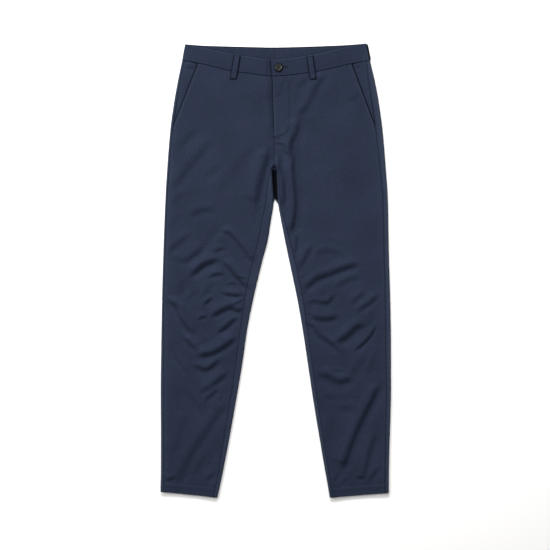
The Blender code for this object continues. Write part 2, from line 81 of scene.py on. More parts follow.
def noise(material, spot, scale, detail=1.0, **more):
    return add_node(material, "TexNoise", "Fac", Vector=spot, Scale=scale, Detail=detail, **more)


def ranged(material, value, low, high, to_low=0.0, to_high=1.0):
    """A value's range from low to high, stretched to another range."""
    return add_node(material, "MapRange", "Result", Value=value, From_Min=low, From_Max=high, To_Min=to_low,
                    To_Max=to_high)


def mixed(material, share, first, second, blend="MIX"):
    return add_node(material, "MixRGB", "Color", {"blend_type": blend}, Fac=share, Color1=first,
                    Color2=second)


def bumped(material, relief, strength, depth, **more):
    """Normal of a surface with fine relief, its depth in mm."""
    return add_node(material, "Bump", "Normal", Height=relief, Strength=strength, Distance=depth * MM, **more)


def new_material(name):
    material = bpy.data.materials.new(name)
    material.use_nodes = True
    return material


def set_shader(material, **sockets):
    set_inputs(material.node_tree.nodes["Principled BSDF"], sockets)


def make_piece(name, bm, material=None):
    """Object in the scene made of a bmesh, which is freed."""
    mesh = bpy.data.meshes.new(name)
    bm.to_mesh(mesh)
    bm.free()
    if material:
        mesh.materials.append(material)
    piece = bpy.data.objects.new(name, mesh)
    bpy.context.collection.objects.link(piece)
    return piece


bpy.context.scene.view_settings.view_transform = "Standard"
camera = bpy.data.objects.new("camera", bpy.data.cameras.new("camera"))
camera.data.sensor_width = SENSOR
camera.data.lens = SENSOR * (CAMERA_Z - CLOTH_LEVEL) / PICTURE_WIDTH
camera.location = (CAMERA_X, CAMERA_Y, CAMERA_Z)
bpy.context.collection.objects.link(camera)
bpy.context.scene.camera = camera

for name, (place, aim, size, power) in LIGHTS.items():
    light = bpy.data.objects.new(name, bpy.data.lights.new(name, "AREA"))
    light.data.shape = "RECTANGLE"
    light.data.size, light.data.size_y = size
    light.data.energy = power
    light.data.color = LIGHT_COLOUR
    light.location = place
    light.rotation_euler = (Vector(aim) - Vector(place)).to_track_quat("-Z", "Y").to_euler()
    light.visible_camera = False
    light.visible_glossy = name == "side"
    bpy.context.collection.objects.link(light)

world = bpy.data.worlds.new("studio")
world.use_nodes = True
set_inputs(world.node_tree.nodes["Background"], {"Color": FILL_COLOUR, "Strength": FILL})
bpy.context.scene.world = world

table_top = new_material("table_top")
grain = add_node(table_top, "TexNoise", "Fac", Scale=3.0, Detail=2.0)
set_shader(table_top, Base_Color=ranged(table_top, grain, 0.0, 1.0, 0.935, 0.95), Roughness=0.9,
           Specular_IOR_Level=0.1)
bm = bmesh.new()
bmesh.ops.create_grid(bm, x_segments=1, y_segments=1, size=TABLE_SIZE)
bmesh.ops.translate(bm, verts=bm.verts, vec=(0.0, 0.0, -TABLE_DROP))
table = make_piece("table", bm, table_top)

# Fronts. Two panels of navy cotton twill, from the waist seam to the hem, sewn to the backs at the side seam
# and the inseam. The wearer's left one laps over at the fly, and both are turned up and stitched at the hem.
PLY = 0.5              # one ply of twill
FOLD = 0.6             # half the depth of cloth folded back under itself
EDGE_ROUND = 1.6       # how far in from a folded edge its round starts
TURN_UNDER = 8.0       # seam allowance that lies under the panel
HEM_DEPTH = 21.5
LAYER_DROP = 1.65      # how far a panel sinks under the one that laps over it

EDGE_TOP = 6.2         # top of the folded side edges
EDGE_RADIUS = EDGE_TOP / 2.0
MIDDLE_TOP = 4.9       # top of the front away from the edges
WAIST_TOP = 6.8        # the same just below the waistband
LOWEST_TOP = 3.0       # no trough takes the front lower
EDGE_REACH = 24.0      # how far a folded edge props up the front
EDGE_CALM = 10.0       # creases die away this close to a folded edge
CENTRE_RISE = 1.4      # both ends of the waistband lie under the button
CENTRE_REACH = 45.0

WAIST_Y = 483.2        # side end of the waist seam
CENTRE_RISE_Y = 390.0  # the front rises to the button from here up
WAIST_RISE_Y = 370.0   # and all of it to the waistband from here up
HIP_Y = 260.0          # rows are level from here down
FORK_Y = 243.0         # the four leg seams meet
ROLL_Y = 232.0         # the inner leg's roll starts
CALF_Y = -400.0        # rows start to tilt to the hem
HEM_Y = -510.0
FLY_END_Y = 307.0      # the fly's lap ends and the fronts meet edge to edge
FLY_UNDERLAP = 7.0
FLY_DIP = 13.0         # the right front sinks under the lap over this width
SIDES = {"left": 1, "right": -1}


def named(columns, *rows):
    """A short table as named columns."""
    return dict(zip(columns.split(), np.array(rows, float).T))


# Outer folded edge of each leg, and how far inside it the side seam runs on top.
OUTER = {
    "left": named(
        "y out seam",
        (530, 207.5, 8.0), (483, 217.2, 9.2), (438, 227.9, 14.2), (392, 236.7, 16.1),
        (323, 246.1, 15.7), (242, 253.0, 13.4), (162, 258.3, 12.0), (47, 260.4, 11.2),
        (-45, 263.1, 11.5), (-160, 265.2, 12.2), (-275, 265.4, 10.8), (-344, 264.0, 10.3),
        (-413, 261.7, 9.2), (-488, 260.6, 9.0), (-530, 260.8, 9.0)),
    "right": named(
        "y out seam",
        (530, 206.5, 5.5), (483, 215.0, 5.5), (449, 222.2, 5.8), (415, 228.9, 6.0),
        (369, 236.4, 6.0), (323, 242.4, 5.6), (242, 248.9, 4.8), (162, 253.7, 4.2),
        (47, 258.1, 4.2), (-45, 260.8, 4.4), (-160, 262.9, 5.6), (-275, 264.3, 6.9),
        (-390, 263.8, 6.9), (-459, 263.8, 6.9), (-491, 264.5, 6.9), (-530, 265.2, 6.9)),
}
# Inner folded edge of each leg, and how wide the back's roll is up to the inseam on top.
INNER = {
    "left": named(
        "y inn roll",
        (260, 0.6, 4.4), (232, 1.6, 4.6), (197, 3.2, 5.4), (169, 4.2, 5.4), (150, 6.4, 5.2),
        (116, 12.4, 7.6), (70, 21.4, 10.6), (24, 31.1, 13.0), (-22, 40.9, 13.8),
        (-68, 50.4, 12.4), (-137, 62.6, 10.8), (-206, 72.9, 10.0), (-298, 86.7, 9.4),
        (-390, 101.9, 8.4), (-459, 113.6, 7.8), (-500, 121.0, 6.6), (-530, 125.8, 5.6)),
    "right": named(
        "y inn roll",
        (260, 9.8, 3.8), (232, 8.6, 4.0), (197, 6.4, 12.0), (169, 4.0, 17.0), (150, 5.2, 18.6),
        (116, 10.6, 20.4), (70, 18.0, 21.2), (24, 30.1, 21.4), (-22, 41.4, 21.0),
        (-68, 52.0, 19.4), (-137, 65.6, 15.6), (-206, 75.4, 14.8), (-298, 90.9, 13.2),
        (-390, 107.2, 12.2), (-459, 120.5, 10.2), (-500, 129.0, 9.6), (-530, 136.0, 9.6)),
}
# Waistline from the wearer's right side to the left: edges of the band in front and behind.
WAIST = named(
    "x front_top front_seam back_top back_seam",
    (-212, 521.0, 482.9, 520.6, 482.7), (-165, 511.3, 474.0, 517.3, 479.7),
    (-100, 497.9, 458.3, 515.2, 476.6), (-62, 491.5, 453.2, 514.3, 474.4), (-8, 484.5, 446.7, 513.1, 473.0),
    (72, 493.2, 454.4, 514.9, 476.2), (125, 504.2, 463.7, 516.8, 478.6),
    (165, 513.4, 473.4, 518.6, 480.3), (214, 523.0, 482.8, 522.6, 483.0))
FLY = named("y x", (530, -13.4), (487, -11.4), (450, -8.6), (430, -7.4), (400, -6.6), (307, -4.3),
            (243, -3.7))
POCKET_MOUTH = {"left": named("y p", (473.6, 175.0), (330.5, 229.3)),
                "right": named("y p", (473.6, 179.6), (332.6, 235.3))}
HEM_LINE = {"left": named("p y", (124.4, -522.8), (260.8, -511.8)),
            "right": named("p y", (133.2, -522.6), (265.2, -508.8))}

# Creases: how far the cloth rises left of the way, how wide the high and the low side are, and the way.
CREASES = (
    # wearer's right hip and crotch
    (1.4, 11, 8, (-229, 277), (-204, 302), (-176, 330)),
    (1.9, 13, 9, (-236, 185), (-215, 215), (-197, 238), (-172, 268), (-144, 302)),
    (0.8, 8, 6, (-238, 146), (-224, 167), (-211, 185)),
    (0.8, 14, 12, (-142, 173), (-119, 199), (-91, 236), (-52, 284)),
    (0.8, 9, 8, (-169, 210), (-146, 229), (-119, 247)),
    (0.7, 8, 7, (-243, 93), (-229, 118), (-211, 137)),
    (5.8, 14, 7, (-44, 150), (-36, 190), (-31, 208), (-26.5, 226), (-21, 243), (-17.5, 254), (-14, 267),
     (-17, 288)),
    (1.4, 8, 7, (-45, 120), (-43, 150), (-36, 180)),
    (1.3, 5, 4, (-16, 282), (-13, 270), (-14, 256)),
    (0.5, 6, 6, (-10, 300), (-11, 360), (-14, 410), (-17, 446)),
    # fly and the wearer's left hip
    (0.7, 5, 5, (-12, 306), (2, 308.5), (14, 311.5), (24, 318), (30, 328), (33, 342)),
    (0.35, 4, 4, (30.8, 332), (30.8, 400), (30.8, 446)),
    (4.6, 12, 9, (38, 80), (43.5, 116), (46.5, 140), (47.5, 162), (45.5, 185), (43.5, 208), (41.2, 231),
     (42.5, 254), (43, 266), (41, 278), (41, 292), (45, 306), (51, 320), (54, 335), (55, 356)),
    (1.8, 7, 8, (34, 262), (34.5, 278), (35, 296), (40, 310)),
    (2.6, 5, 5, (38.5, 90), (43.5, 116), (46.5, 140), (47.5, 162), (45.5, 185), (43.5, 208), (41.2, 231),
     (42, 262)),
    (1.5, 4, 3.5, (-8, 292), (6, 292.5), (16, 288.5), (27, 281), (34, 273)),
    (0.9, 3.5, 3.5, (-6, 303), (6, 302.5), (16, 299)),
    (1.7, 5, 5, (15, 287), (22, 275), (27, 267), (34, 258)),
    (2.0, 9, 8, (52, 349), (62, 364), (73, 378), (82, 397), (91, 415), (105, 438), (120, 452)),
    (1.0, 7, 7, (49, 415), (63, 433), (78, 449)),
    (0.6, 5, 5, (12, 418), (20, 442)),
    (0.7, 4, 4, (-3, 397), (11, 410)),
    (4.9, 5, 4, (19.5, 142), (19.5, 162), (19, 185), (17.5, 208), (11.5, 231), (8, 254), (6, 268)),
    (1.2, 4, 4, (14, 180), (13, 150), (17, 118)),
    (1.2, 5, 4, (-210, 469), (-196, 466.5), (-182, 465)),
    (0.9, 5, 4, (178, 468), (188, 467), (199, 467)),
    (0.5, 8, 8, (160, 385), (183, 401), (208, 410)),
    # wearer's right thigh and knee
    (1.0, 3, 3, (-89, -93), (-82, -91), (-75, -89)),
    (1.0, 6, 6, (-229, -66), (-211, -91), (-192, -121), (-178, -153), (-174, -167)),
    (1.0, 9, 9, (-220, -61), (-215, -36), (-213, -13)),
    (0.9, 8, 8, (-167, -68), (-160, -50), (-146, -31), (-128, -27)),
    (0.8, 8, 8, (-167, -96), (-160, -77), (-158, -63)),
    (0.9, 9, 9, (-176, -174), (-160, -160), (-144, -155)),
    (0.8, 10, 9, (-211, 19), (-188, 33), (-162, 54), (-142, 75)),
    (1.6, 9, 8, (-199, 116), (-185, 132), (-167, 139), (-151, 137), (-139, 125)),
    (3.6, 8, 4, (-132, 88), (-114, 87), (-100, 77), (-86, 62), (-73, 45), (-59, 24), (-52, 12)),
    (1.5, 9, 8, (-109, 104), (-167, 42), (-197, 12)),
    (1.6, 6, 5, (-146, 40), (-130, 47), (-112, 53)),
    (3.9, 9, 7, (-199, -17), (-181, -1), (-165, 12), (-146, 20), (-126, 23)),
    (4.2, 8, 5, (-126, 24), (-112, 10), (-100, -4), (-89, -17), (-77, -29), (-67, -40), (-60, -49)),
    (1.3, 3.5, 3, (-91, -13), (-77, -17), (-63, -22)),
    (2.2, 6, 5, (-158, -20), (-142, -11), (-128, -9), (-114, -13)),
    (1.4, 4, 3.5, (-112, -36), (-103, -30), (-91, -32), (-80, -38)),
    (2.8, 6, 4.5, (-128, -45), (-119, -53), (-100, -57), (-82, -58), (-68, -58)),
    (1.9, 5, 5, (-167, -80), (-155, -70), (-142, -62)),
    (1.5, 4, 3.5, (-105, -82), (-91, -76), (-80, -70), (-68, -63)),
    (3.9, 9, 6, (-151, -109), (-135, -100), (-119, -91), (-103, -86), (-89, -93), (-75, -101)),
    (1.6, 5, 5, (-181, -115), (-169, -108), (-155, -106)),
    (2.9, 7, 6, (-139, -146), (-126, -139), (-112, -129), (-98, -116), (-82, -107)),
    (4.2, 8, 6, (-252, -62), (-241, -73), (-229, -86), (-220, -107), (-208, -126), (-199, -139),
     (-190, -151)),
    (3.2, 7, 5, (-215, -144), (-204, -162), (-192, -176), (-181, -191)),
    (0.9, 6, 5, (-204, -70), (-192, -57), (-178, -45)),
    (1.6, 9, 8, (-252, 35), (-231, 56), (-211, 72), (-190, 86)),
    (1.2, 8, 8, (-247, 38), (-224, 24), (-206, 24), (-185, 35), (-160, 54)),
    # wearer's right calf
    (0.8, 3, 3, (-197, -213), (-196, -201)),
    (0.9, 10, 10, (-238, -425), (-224, -390), (-215, -356), (-206, -321)),
    (0.8, 7, 7, (-162, -459), (-151, -431), (-142, -404)),
    (4.0, 10, 6, (-185, -197), (-167, -196), (-146, -192), (-128, -183), (-107, -169), (-86, -151)),
    (2.2, 6, 8, (-195, -215), (-178, -222), (-160, -227), (-144, -218), (-126, -199)),
    (1.3, 5, 5, (-238, -169), (-229, -197), (-215, -220), (-199, -243)),
    (2.2, 8, 7, (-178, -284), (-153, -270), (-130, -252), (-107, -231)),
    (2.4, 7, 6, (-165, -303), (-149, -287), (-128, -268)),
    (1.2, 9, 9, (-218, -261), (-199, -284), (-183, -307), (-167, -330)),
    (2.0, 12, 9, (-224, -487), (-206, -448), (-183, -406), (-158, -369), (-135, -335), (-114, -305)),
    (1.2, 9, 8, (-190, -473), (-172, -443), (-155, -411)),
    (1.2, 6, 6, (-162, -489), (-151, -475), (-139, -464)),
    (1.2, 5, 5, (-250, -484), (-238, -477), (-224, -484)),
    # wearer's left thigh and knee
    (1.0, 10, 8, (70, -61), (88, -59), (107, -66)),
    (1.1, 12, 10, (208, -137), (219, -107), (229, -80), (236, -54)),
    (1.3, 5, 5, (75, -116), (84, -126), (95, -130)),
    (0.8, 9, 9, (116, 77), (141, 63), (171, 54)),
    (0.7, 3, 3, (70, -103), (79, -100), (88, -100)),
    (1.7, 5, 5, (43, 26), (47, 58), (49, 93)),
    (2.0, 8, 6, (52, -1), (63, 19), (75, 40), (87, 65)),
    (1.2, 9, 8, (88, 31), (107, 42), (125, 45), (144, 38), (164, 31)),
    (3.6, 10, 7, (61, -46), (77, -36), (91, -23), (107, -15), (125, -9), (148, 0), (171, 8), (196, 14)),
    (0.8, 3, 3, (54, -59), (65, -52), (77, -43)),
    (0.7, 4, 4, (58, -20), (65, -13), (75, -6)),
    (1.3, 8, 7, (132, -40), (155, -29), (176, -20), (201, -16)),
    (1.9, 6, 6, (68, -77), (84, -72), (102, -73), (118, -75), (130, -63), (137, -47)),
    (0.6, 2.5, 2.5, (68, -103), (75, -99), (84, -100)),
    (3.0, 9, 7, (70, -108), (88, -111), (107, -113), (127, -111), (150, -104)),
    (2.9, 8, 6, (70, -112), (84, -130), (100, -149), (118, -162), (137, -176), (153, -195)),
    (1.6, 8, 7, (173, -82), (187, -66), (199, -57), (210, -50)),
    (2.4, 8, 6, (187, -100), (201, -86), (217, -75), (229, -63), (238, -52)),
    (3.8, 10, 9, (132, -167), (153, -159), (171, -146), (187, -131), (210, -128)),
    (2.6, 6, 4, (178, -188), (196, -174), (213, -158), (224, -142), (233, -121)),
    # wearer's left calf
    (1.0, 9, 9, (167, -250), (183, -227), (199, -206), (213, -188)),
    (0.9, 12, 12, (116, -406), (125, -362), (134, -323)),
    (1.0, 7, 7, (141, -312), (160, -319), (180, -328)),
    (0.8, 8, 8, (208, -243), (222, -215), (233, -183)),
    (3.0, 10, 10, (95, -236), (116, -243), (132, -252), (146, -257), (164, -253), (183, -249)),
    (1.2, 4, 3, (125, -229), (144, -231), (162, -234)),
    (4.6, 12, 8, (150, -459), (162, -441), (174, -406), (190, -367), (209, -328), (224, -298),
     (236, -270), (240, -259)),
    (1.9, 8, 8, (203, -482), (213, -431), (222, -399), (231, -372)),
    (1.6, 7, 6, (213, -491), (226, -468), (242, -448)),
    (1.4, 5, 5, (183, -480), (194, -476), (208, -477)),
    (0.8, 4, 4, (132, -487), (139, -477), (144, -464)),
    (1.0, 7, 7, (160, -305), (176, -316), (185, -328)),
    (0.9, 7, 6, (107, -287), (125, -291), (139, -296)),
    # the hems' stitching, where the cloth is one layer thicker below it
    (0.55, 2.8, 2.6, (-130, -503), (-200, -495.7), (-268, -488.5)),
    (0.55, 2.8, 2.6, (264, -491.5), (195, -497), (121, -503)),
    (0.9, 5, 4, (-262, -473), (-250, -480), (-240, -488)),
    (0.7, 5, 4, (-222, -486), (-214, -478), (-206, -468)),
    (0.8, 5, 4, (150, -493), (160, -484), (168, -474)),
)
CREASE_STEP = 5.0      # spacing of the points that a crease's line is made of
CREASE_FADE = 26.0     # a crease comes up and dies away over this length
CREASE_REACH = 3.2     # how many of its widths a crease reaches
# Fullness over the knees.
PUFFS = named("x y across along rise", (-140, -100, 85, 190, 1.7), (150, -110, 80, 190, 1.7))


def smooth(t):
    """Soft step from 0 to 1."""
    t = np.clip(t, 0.0, 1.0)
    return t * t * (3.0 - 2.0 * t)


def bell(off, reach):
    """1 at no distance, dying away over the reach."""
    return np.exp(-(off / reach) ** 2)


def between(start, end, share):
    return start + (end - start) * share


def curve(at, table, column):
    """Smooth curve through a table's points that doesn't overshoot them, held level past its ends."""
    xs, ys = next(iter(table.values())), table[column]
    order = np.argsort(xs)
    xs, ys = xs[order], ys[order]
    run = np.diff(xs)
    slope = np.diff(ys) / run
    product = slope[:-1] * slope[1:]
    total = slope[:-1] + slope[1:]
    inside = np.where(product > 0, 2.0 * product / np.where(product > 0, total, 1.0), 0.0)
    tangent = np.concatenate([slope[:1], inside, slope[-1:]])
    at = np.clip(at, xs[0], xs[-1])
    k = np.clip(np.searchsorted(xs, at) - 1, 0, len(run) - 1)
    t = (at - xs[k]) / run[k]
    rest = 1.0 - t
    return (ys[k] * (1.0 + 2.0 * t) * rest ** 2 + run[k] * tangent[k] * t * rest ** 2
            + ys[k + 1] * (3.0 - 2.0 * t) * t ** 2 - run[k] * tangent[k + 1] * rest * t ** 2)


def out_edge(side, y):
    return curve(y, OUTER[side], "out")


def side_seam(side, y):
    return out_edge(side, y) - curve(y, OUTER[side], "seam")


def inner_edge(side, y):
    return curve(y, INNER[side], "inn")


def inseam(side, y):
    return inner_edge(side, y) + curve(y, INNER[side], "roll")


def waistline(edge, x):
    return curve(x, WAIST, edge)


def fly_line(y):
    return curve(y, FLY, "x")


def pocket_mouth(side, y):
    """Straight line of the slant pocket's mouth, run on past both ends."""
    (top_y, end_y), (top_p, end_p) = POCKET_MOUTH[side].values()
    return between(end_p, top_p, (y - end_y) / (top_y - end_y))


def hem_line(side, p):
    """Straight line of the hem's lower edge."""
    (in_p, out_p), (in_y, out_y) = HEM_LINE[side].values()
    return between(in_y, out_y, (p - in_p) / (out_p - in_p))


def smooth_way(places):
    """Closely spaced points of a smooth line through a few places."""
    places = np.array(places, float)
    ends = np.vstack([2 * places[0] - places[1], places, 2 * places[-1] - places[-2]])
    line = []
    for a, b, c, d in zip(ends, ends[1:], ends[2:], ends[3:]):
        count = max(2, int(np.hypot(*(c - b)) / CREASE_STEP))
        t = np.linspace(0.0, 1.0, count, endpoint=False)[:, None]
        line.append(b + 0.5 * t * (c - a + t * (2 * a - 5 * b + 4 * c - d + t * (3 * (b - c) + d - a))))
    return np.vstack(line + [places[-1:]])


def crease_relief(x, y, rise, high, low, line):
    """One crease: raised on the left of its line and sunk on the right, dying away at both ends."""
    start, step = line[:-1], np.diff(line, axis=0)
    size = np.hypot(step[:, 0], step[:, 1])
    away_x, away_y = x[:, None] - start[:, 0], y[:, None] - start[:, 1]
    share = np.clip((away_x * step[:, 0] + away_y * step[:, 1]) / size ** 2, 0.0, 1.0)
    gap = (away_x - share * step[:, 0]) ** 2 + (away_y - share * step[:, 1]) ** 2
    nearest = np.argmin(gap, axis=1)[:, None]
    side = np.take_along_axis((step[:, 0] * away_y - step[:, 1] * away_x) / size, nearest, 1)[:, 0]
    beyond = np.maximum(np.take_along_axis(gap, nearest, 1)[:, 0] - side ** 2, 0.0)
    length = np.sum(size)
    passed = (np.cumsum(size) - size)[nearest[:, 0]] + (np.take_along_axis(share, nearest, 1)[:, 0]
                                                        * size[nearest[:, 0]])
    fade_over = min(CREASE_FADE, 0.45 * length)
    fade = smooth(passed / fade_over + 0.15) * smooth((length - passed) / fade_over + 0.15)
    width = np.where(side > 0, high, low) * (0.6 + 0.4 * fade)
    off = side / width
    return rise * fade * off * width / high * np.exp(0.5 - 0.5 * off ** 2 - 0.5 * beyond / width ** 2)


def fold_relief(x, y):
    """Sum of the front's creases."""
    flat_x, flat_y = np.ravel(x).astype(float), np.ravel(y).astype(float)
    relief = np.zeros(flat_x.shape)
    for rise, high, low, *places in CREASES:
        line = smooth_way(places)
        reach = CREASE_REACH * max(high, low)
        (low_x, low_y), (top_x, top_y) = line.min(axis=0) - reach, line.max(axis=0) + reach
        near = (flat_x > low_x) & (flat_x < top_x) & (flat_y > low_y) & (flat_y < top_y)
        if near.any():
            relief[near] += crease_relief(flat_x[near], flat_y[near], rise, high, low, line)
    return relief.reshape(np.shape(x))


def height(x, y):
    """Top of the front layer at a place: propped by the folded edges, full at the knees, and creased."""
    x, y = np.broadcast_arrays(np.asarray(x, float), np.asarray(y, float))
    left = x > fly_line(y)
    out = np.where(left, out_edge("left", y) - x, out_edge("right", y) + x) - EDGE_RADIUS
    inn = np.where(left, x - inner_edge("left", y), -x - inner_edge("right", y)) - EDGE_RADIUS
    below_fork = smooth((FORK_Y + 10.0 - y) / 40.0)
    prop_out = bell(np.maximum(out, 0.0), EDGE_REACH)
    prop_in = below_fork * bell(np.maximum(inn, 0.0), EDGE_REACH)
    prop = prop_out + prop_in - prop_out * prop_in
    middle = between(MIDDLE_TOP, WAIST_TOP, smooth((y - WAIST_RISE_Y) / 70.0))
    puff = sum(rise * bell(x - puff_x, across) * bell(y - puff_y, along)
               for puff_x, puff_y, across, along, rise in zip(*PUFFS.values()))
    free = smooth(out / EDGE_CALM) * (1.0 - below_fork * (1.0 - smooth(inn / EDGE_CALM)))
    centre = CENTRE_RISE * smooth((y - CENTRE_RISE_Y) / 60.0) * bell(x, CENTRE_REACH)
    top = between(middle, EDGE_TOP, prop) + centre + free * (puff + fold_relief(x, y))
    return 0.5 * (top + LOWEST_TOP + np.sqrt((top - LOWEST_TOP) ** 2 + 0.36))


def settle(side, level, under, place):
    """Distance from the middle and height along the body that agree for the points of a grid. A row leaves
    its level for the waist's dip and the hem's tilt; under is 0 on the front, 1 on the back."""
    y = level
    for _ in range(5):
        p = place(y)
        x = SIDES[side] * p
        dip = between(waistline("front_seam", x), waistline("back_seam", x), under) - WAIST_Y
        y = (level + np.minimum(dip, 0.0) * smooth((level - HIP_Y) / (WAIST_Y - HIP_Y))
             + (hem_line(side, p) - HEM_Y) * smooth((CALF_Y - level) / (CALF_Y - HEM_Y)))
    return p, y


def folded_edge(turn_under, steps=2):
    """Way in from a folded edge, and depth below the face, of lines that go over the edge and back under."""
    turn = np.radians(np.linspace(90.0, -90.0, 9))
    way_in = EDGE_ROUND * (1.0 - np.cos(turn))
    depth = FOLD * (1.0 - np.sin(turn))
    under = EDGE_ROUND + turn_under * np.linspace(0.0, 1.0, steps + 1)[1:]
    return np.concatenate([way_in, under]), np.concatenate([depth, np.full(steps, 2.0 * FOLD)])


def cloth_rows(plain, hem=True):
    """Level of each row and its depth: tucked into the waist seam, plain, then turned up at the hem."""
    tuck_in, tuck_depth = (values[4::-1] for values in folded_edge(0.0))
    hem_in, hem_depth = folded_edge(HEM_DEPTH - EDGE_ROUND, 7) if hem else ([], [])
    level = np.concatenate([[WAIST_Y], WAIST_Y - tuck_in, plain, HEM_Y + np.array(hem_in)])
    depth = np.concatenate([[2.0 * FOLD], tuck_depth, np.zeros(len(plain)), hem_depth])
    return level[:, None], depth[:, None]


NAVY = (0.0180, 0.0249, 0.0452, 1.0)
NAVY_VALLEY = (0.0146, 0.0205, 0.0379, 1.0)
NAVY_VIOLET = (0.0194, 0.0238, 0.0466, 1.0)
# Worn navy, which the cloth is also lightened towards for painted highlights.
NAVY_WORN_AND_LIT = (0.0350, 0.0455, 0.0740, 1.0)
WALE = 0.62            # spacing of the twill's ridges
WALE_TURN = math.radians(27)
YARN_STRETCH = 6.0     # a yarn's slubs are this much longer along the warp
# Most that real wear and painted highlight together lighten the cloth.
MOST_LIGHTENED = 1.5
SEAM_DARK = 0.05       # painted shade: how dark the cloth is painted deepest in a seam
WAIST_SEAM_SHADE = 0.90     # painted seam shade in the waist seam, the fly and the mouths
LEG_SEAM_SHADE = 0.38       # less painted seam shade down the legs, whose seams are pressed flat
# Painted seam shade along each leg's side seam.
SIDE_SEAM_SHADE = {"left": 0.34, "right": 0.1}
# Painted shade in the hem's fold.
HEM_FOLD_SHADE = 0.55
BACK_STRIP_HIGHLIGHT = {"left": 0.2, "right": 0.32}  # painted highlight on the back's strip outside the side seam
FLY_SHADE = 0.55       # painted shade on the right front beside the lap that covers it
FLY_SHADE_REACH = 3.4
MOUTH_WEAR, LAP_WEAR, EDGE_WEAR_REACH = 0.8, 0.6, 3.0      # the mouths' and the lap's edges are rubbed
HEM_WEAR, HEM_WEAR_REACH = 0.3, 3.5
RIM_HIGHLIGHT = 1.25        # painted highlight along the legs' pressed outer folds
RIM_REACH = 8.0
FRONT_LOOPS = {"left": ((78.2, 494.6), (85.9, 440.0)), "right": ((-88.0, 496.8), (-97.4, 440.8))}
LOOP_WIDTH = 13.5

twill = new_material("navy_twill")
spot = add_node(twill, "UVMap", "UV", {"uv_map": "cloth"})
tilted = add_node(twill, "Mapping", "Vector", Vector=spot, Rotation=(0.0, 0.0, WALE_TURN))
wale = add_node(twill, "TexWave", "Fac", {"bands_direction": "X"}, Vector=tilted,
                Scale=2.0 * math.pi / (20.0 * WALE * MM), Distortion=0.5, Detail=1.0, Detail_Scale=2.0)
along_warp = add_node(twill, "Mapping", "Vector", Vector=spot, Scale=(1.0, 1.0 / YARN_STRETCH, 1.0))
slub = noise(twill, along_warp, 2200.0)
fleck = noise(twill, spot, 300.0, 2.0, Roughness=0.6)
cloud = noise(twill, spot, 14.0, 5.0, Roughness=0.62)
dye = noise(twill, spot, 28.0, 2.0)
rumple = noise(twill, spot, 38.0, 4.0, Roughness=0.55)
ridge_colour = mixed(twill, ranged(twill, dye, 0.4, 0.6), NAVY, NAVY_VIOLET)
woven = mixed(twill, wale, NAVY_VALLEY, ridge_colour)
for patches, least, most in ((fleck, 0.80, 1.20), (cloud, 0.88, 1.12)):
    woven = mixed(twill, 1.0, woven, ranged(twill, patches, 0.3, 0.7, least, most), "MULTIPLY")
# The cloth's attribute holds real wear and painted light together. Above 0 it lightens the cloth towards worn
# navy: real wear at the mouths, the lap and the hems, and painted highlights on folds and edges. Below 0 it
# darkens it: painted shade in seams, gaps, beside the lap and round raised parts.
wear_and_light = add_node(twill, "Attribute", "Fac", {"attribute_name": "wear_and_painted_light"})
lightening_share = add_node(twill, "Math", "Value", {"operation": "MULTIPLY"})
for place, value in enumerate((wear_and_light, fleck)):
    twill.node_tree.links.new(value, lightening_share.node.inputs[place])
worn_and_painted_light = mixed(twill, lightening_share, woven, NAVY_WORN_AND_LIT)
with_painted_shade = mixed(twill, 1.0, worn_and_painted_light, ranged(twill, wear_and_light, -1.0, 0.0, SEAM_DARK, 1.0), "MULTIPLY")
soft_relief = bumped(twill, rumple, 1.0, 0.9)
slub_relief = bumped(twill, slub, 0.6, 0.04, Normal=soft_relief)
set_shader(twill, Base_Color=with_painted_shade, Roughness=ranged(twill, fleck, 0.3, 0.7, 0.82, 0.94),
           Normal=bumped(twill, wale, 0.8, 0.06, Normal=slub_relief), Specular_IOR_Level=0.07,
           Sheen_Weight=0.02, Sheen_Roughness=0.5, Sheen_Tint=(0.75, 0.83, 1.0, 1.0))


def steps_between(points):
    """Distances between a grid's neighbouring points, across the rows and along the columns."""
    return np.linalg.norm(np.diff(points, axis=1), axis=2), np.linalg.norm(np.diff(points, axis=0), axis=2)


def panel_area(points):
    """Flat area in square metres of a grid of cloth, from its points in mm."""
    across, along = steps_between(points)
    cells = 0.25 * (across[1:] + across[:-1]) * (along[:, 1:] + along[:, :-1])
    return float(cells.sum()) * MM ** 2


def set_points(mesh, points, wear_and_painted_light):
    """Places a mesh grid's points, given in mm by row and column, and gives it its cloth coordinates."""
    rows, columns = points.shape[:2]
    spots = np.empty(len(mesh.vertices) * 3)
    mesh.vertices.foreach_get("co", spots)
    column = np.rint((spots[0::3] + 1.0) / 2.0 * (columns - 1)).astype(int)
    row = np.rint((spots[1::3] + 1.0) / 2.0 * (rows - 1)).astype(int)
    mesh.vertices.foreach_set("co", (points[row, column] * MM).ravel())
    across, along = steps_between(points)
    u = np.concatenate([np.zeros((rows, 1)), np.cumsum(across, axis=1)], axis=1)
    v = np.concatenate([np.zeros((1, columns)), np.cumsum(along, axis=0)], axis=0)
    middle = columns // 2
    u = u - u[:, middle:middle + 1] + points[:, middle:middle + 1, 0]
    corner = np.empty(len(mesh.loops), dtype=int)
    mesh.loops.foreach_get("vertex_index", corner)
    layer = mesh.uv_layers.new(name="cloth")
    cloth = np.stack([u[row, column], v[row, column]], axis=1)[corner] * MM
    layer.data.foreach_set("uv", cloth.ravel())
    painted_light_and_wear = mesh.attributes.new("wear_and_painted_light", "FLOAT", "POINT")
    painted_light_and_wear.data.foreach_set("value", np.broadcast_to(wear_and_painted_light, (rows, columns))[row, column].astype(float))


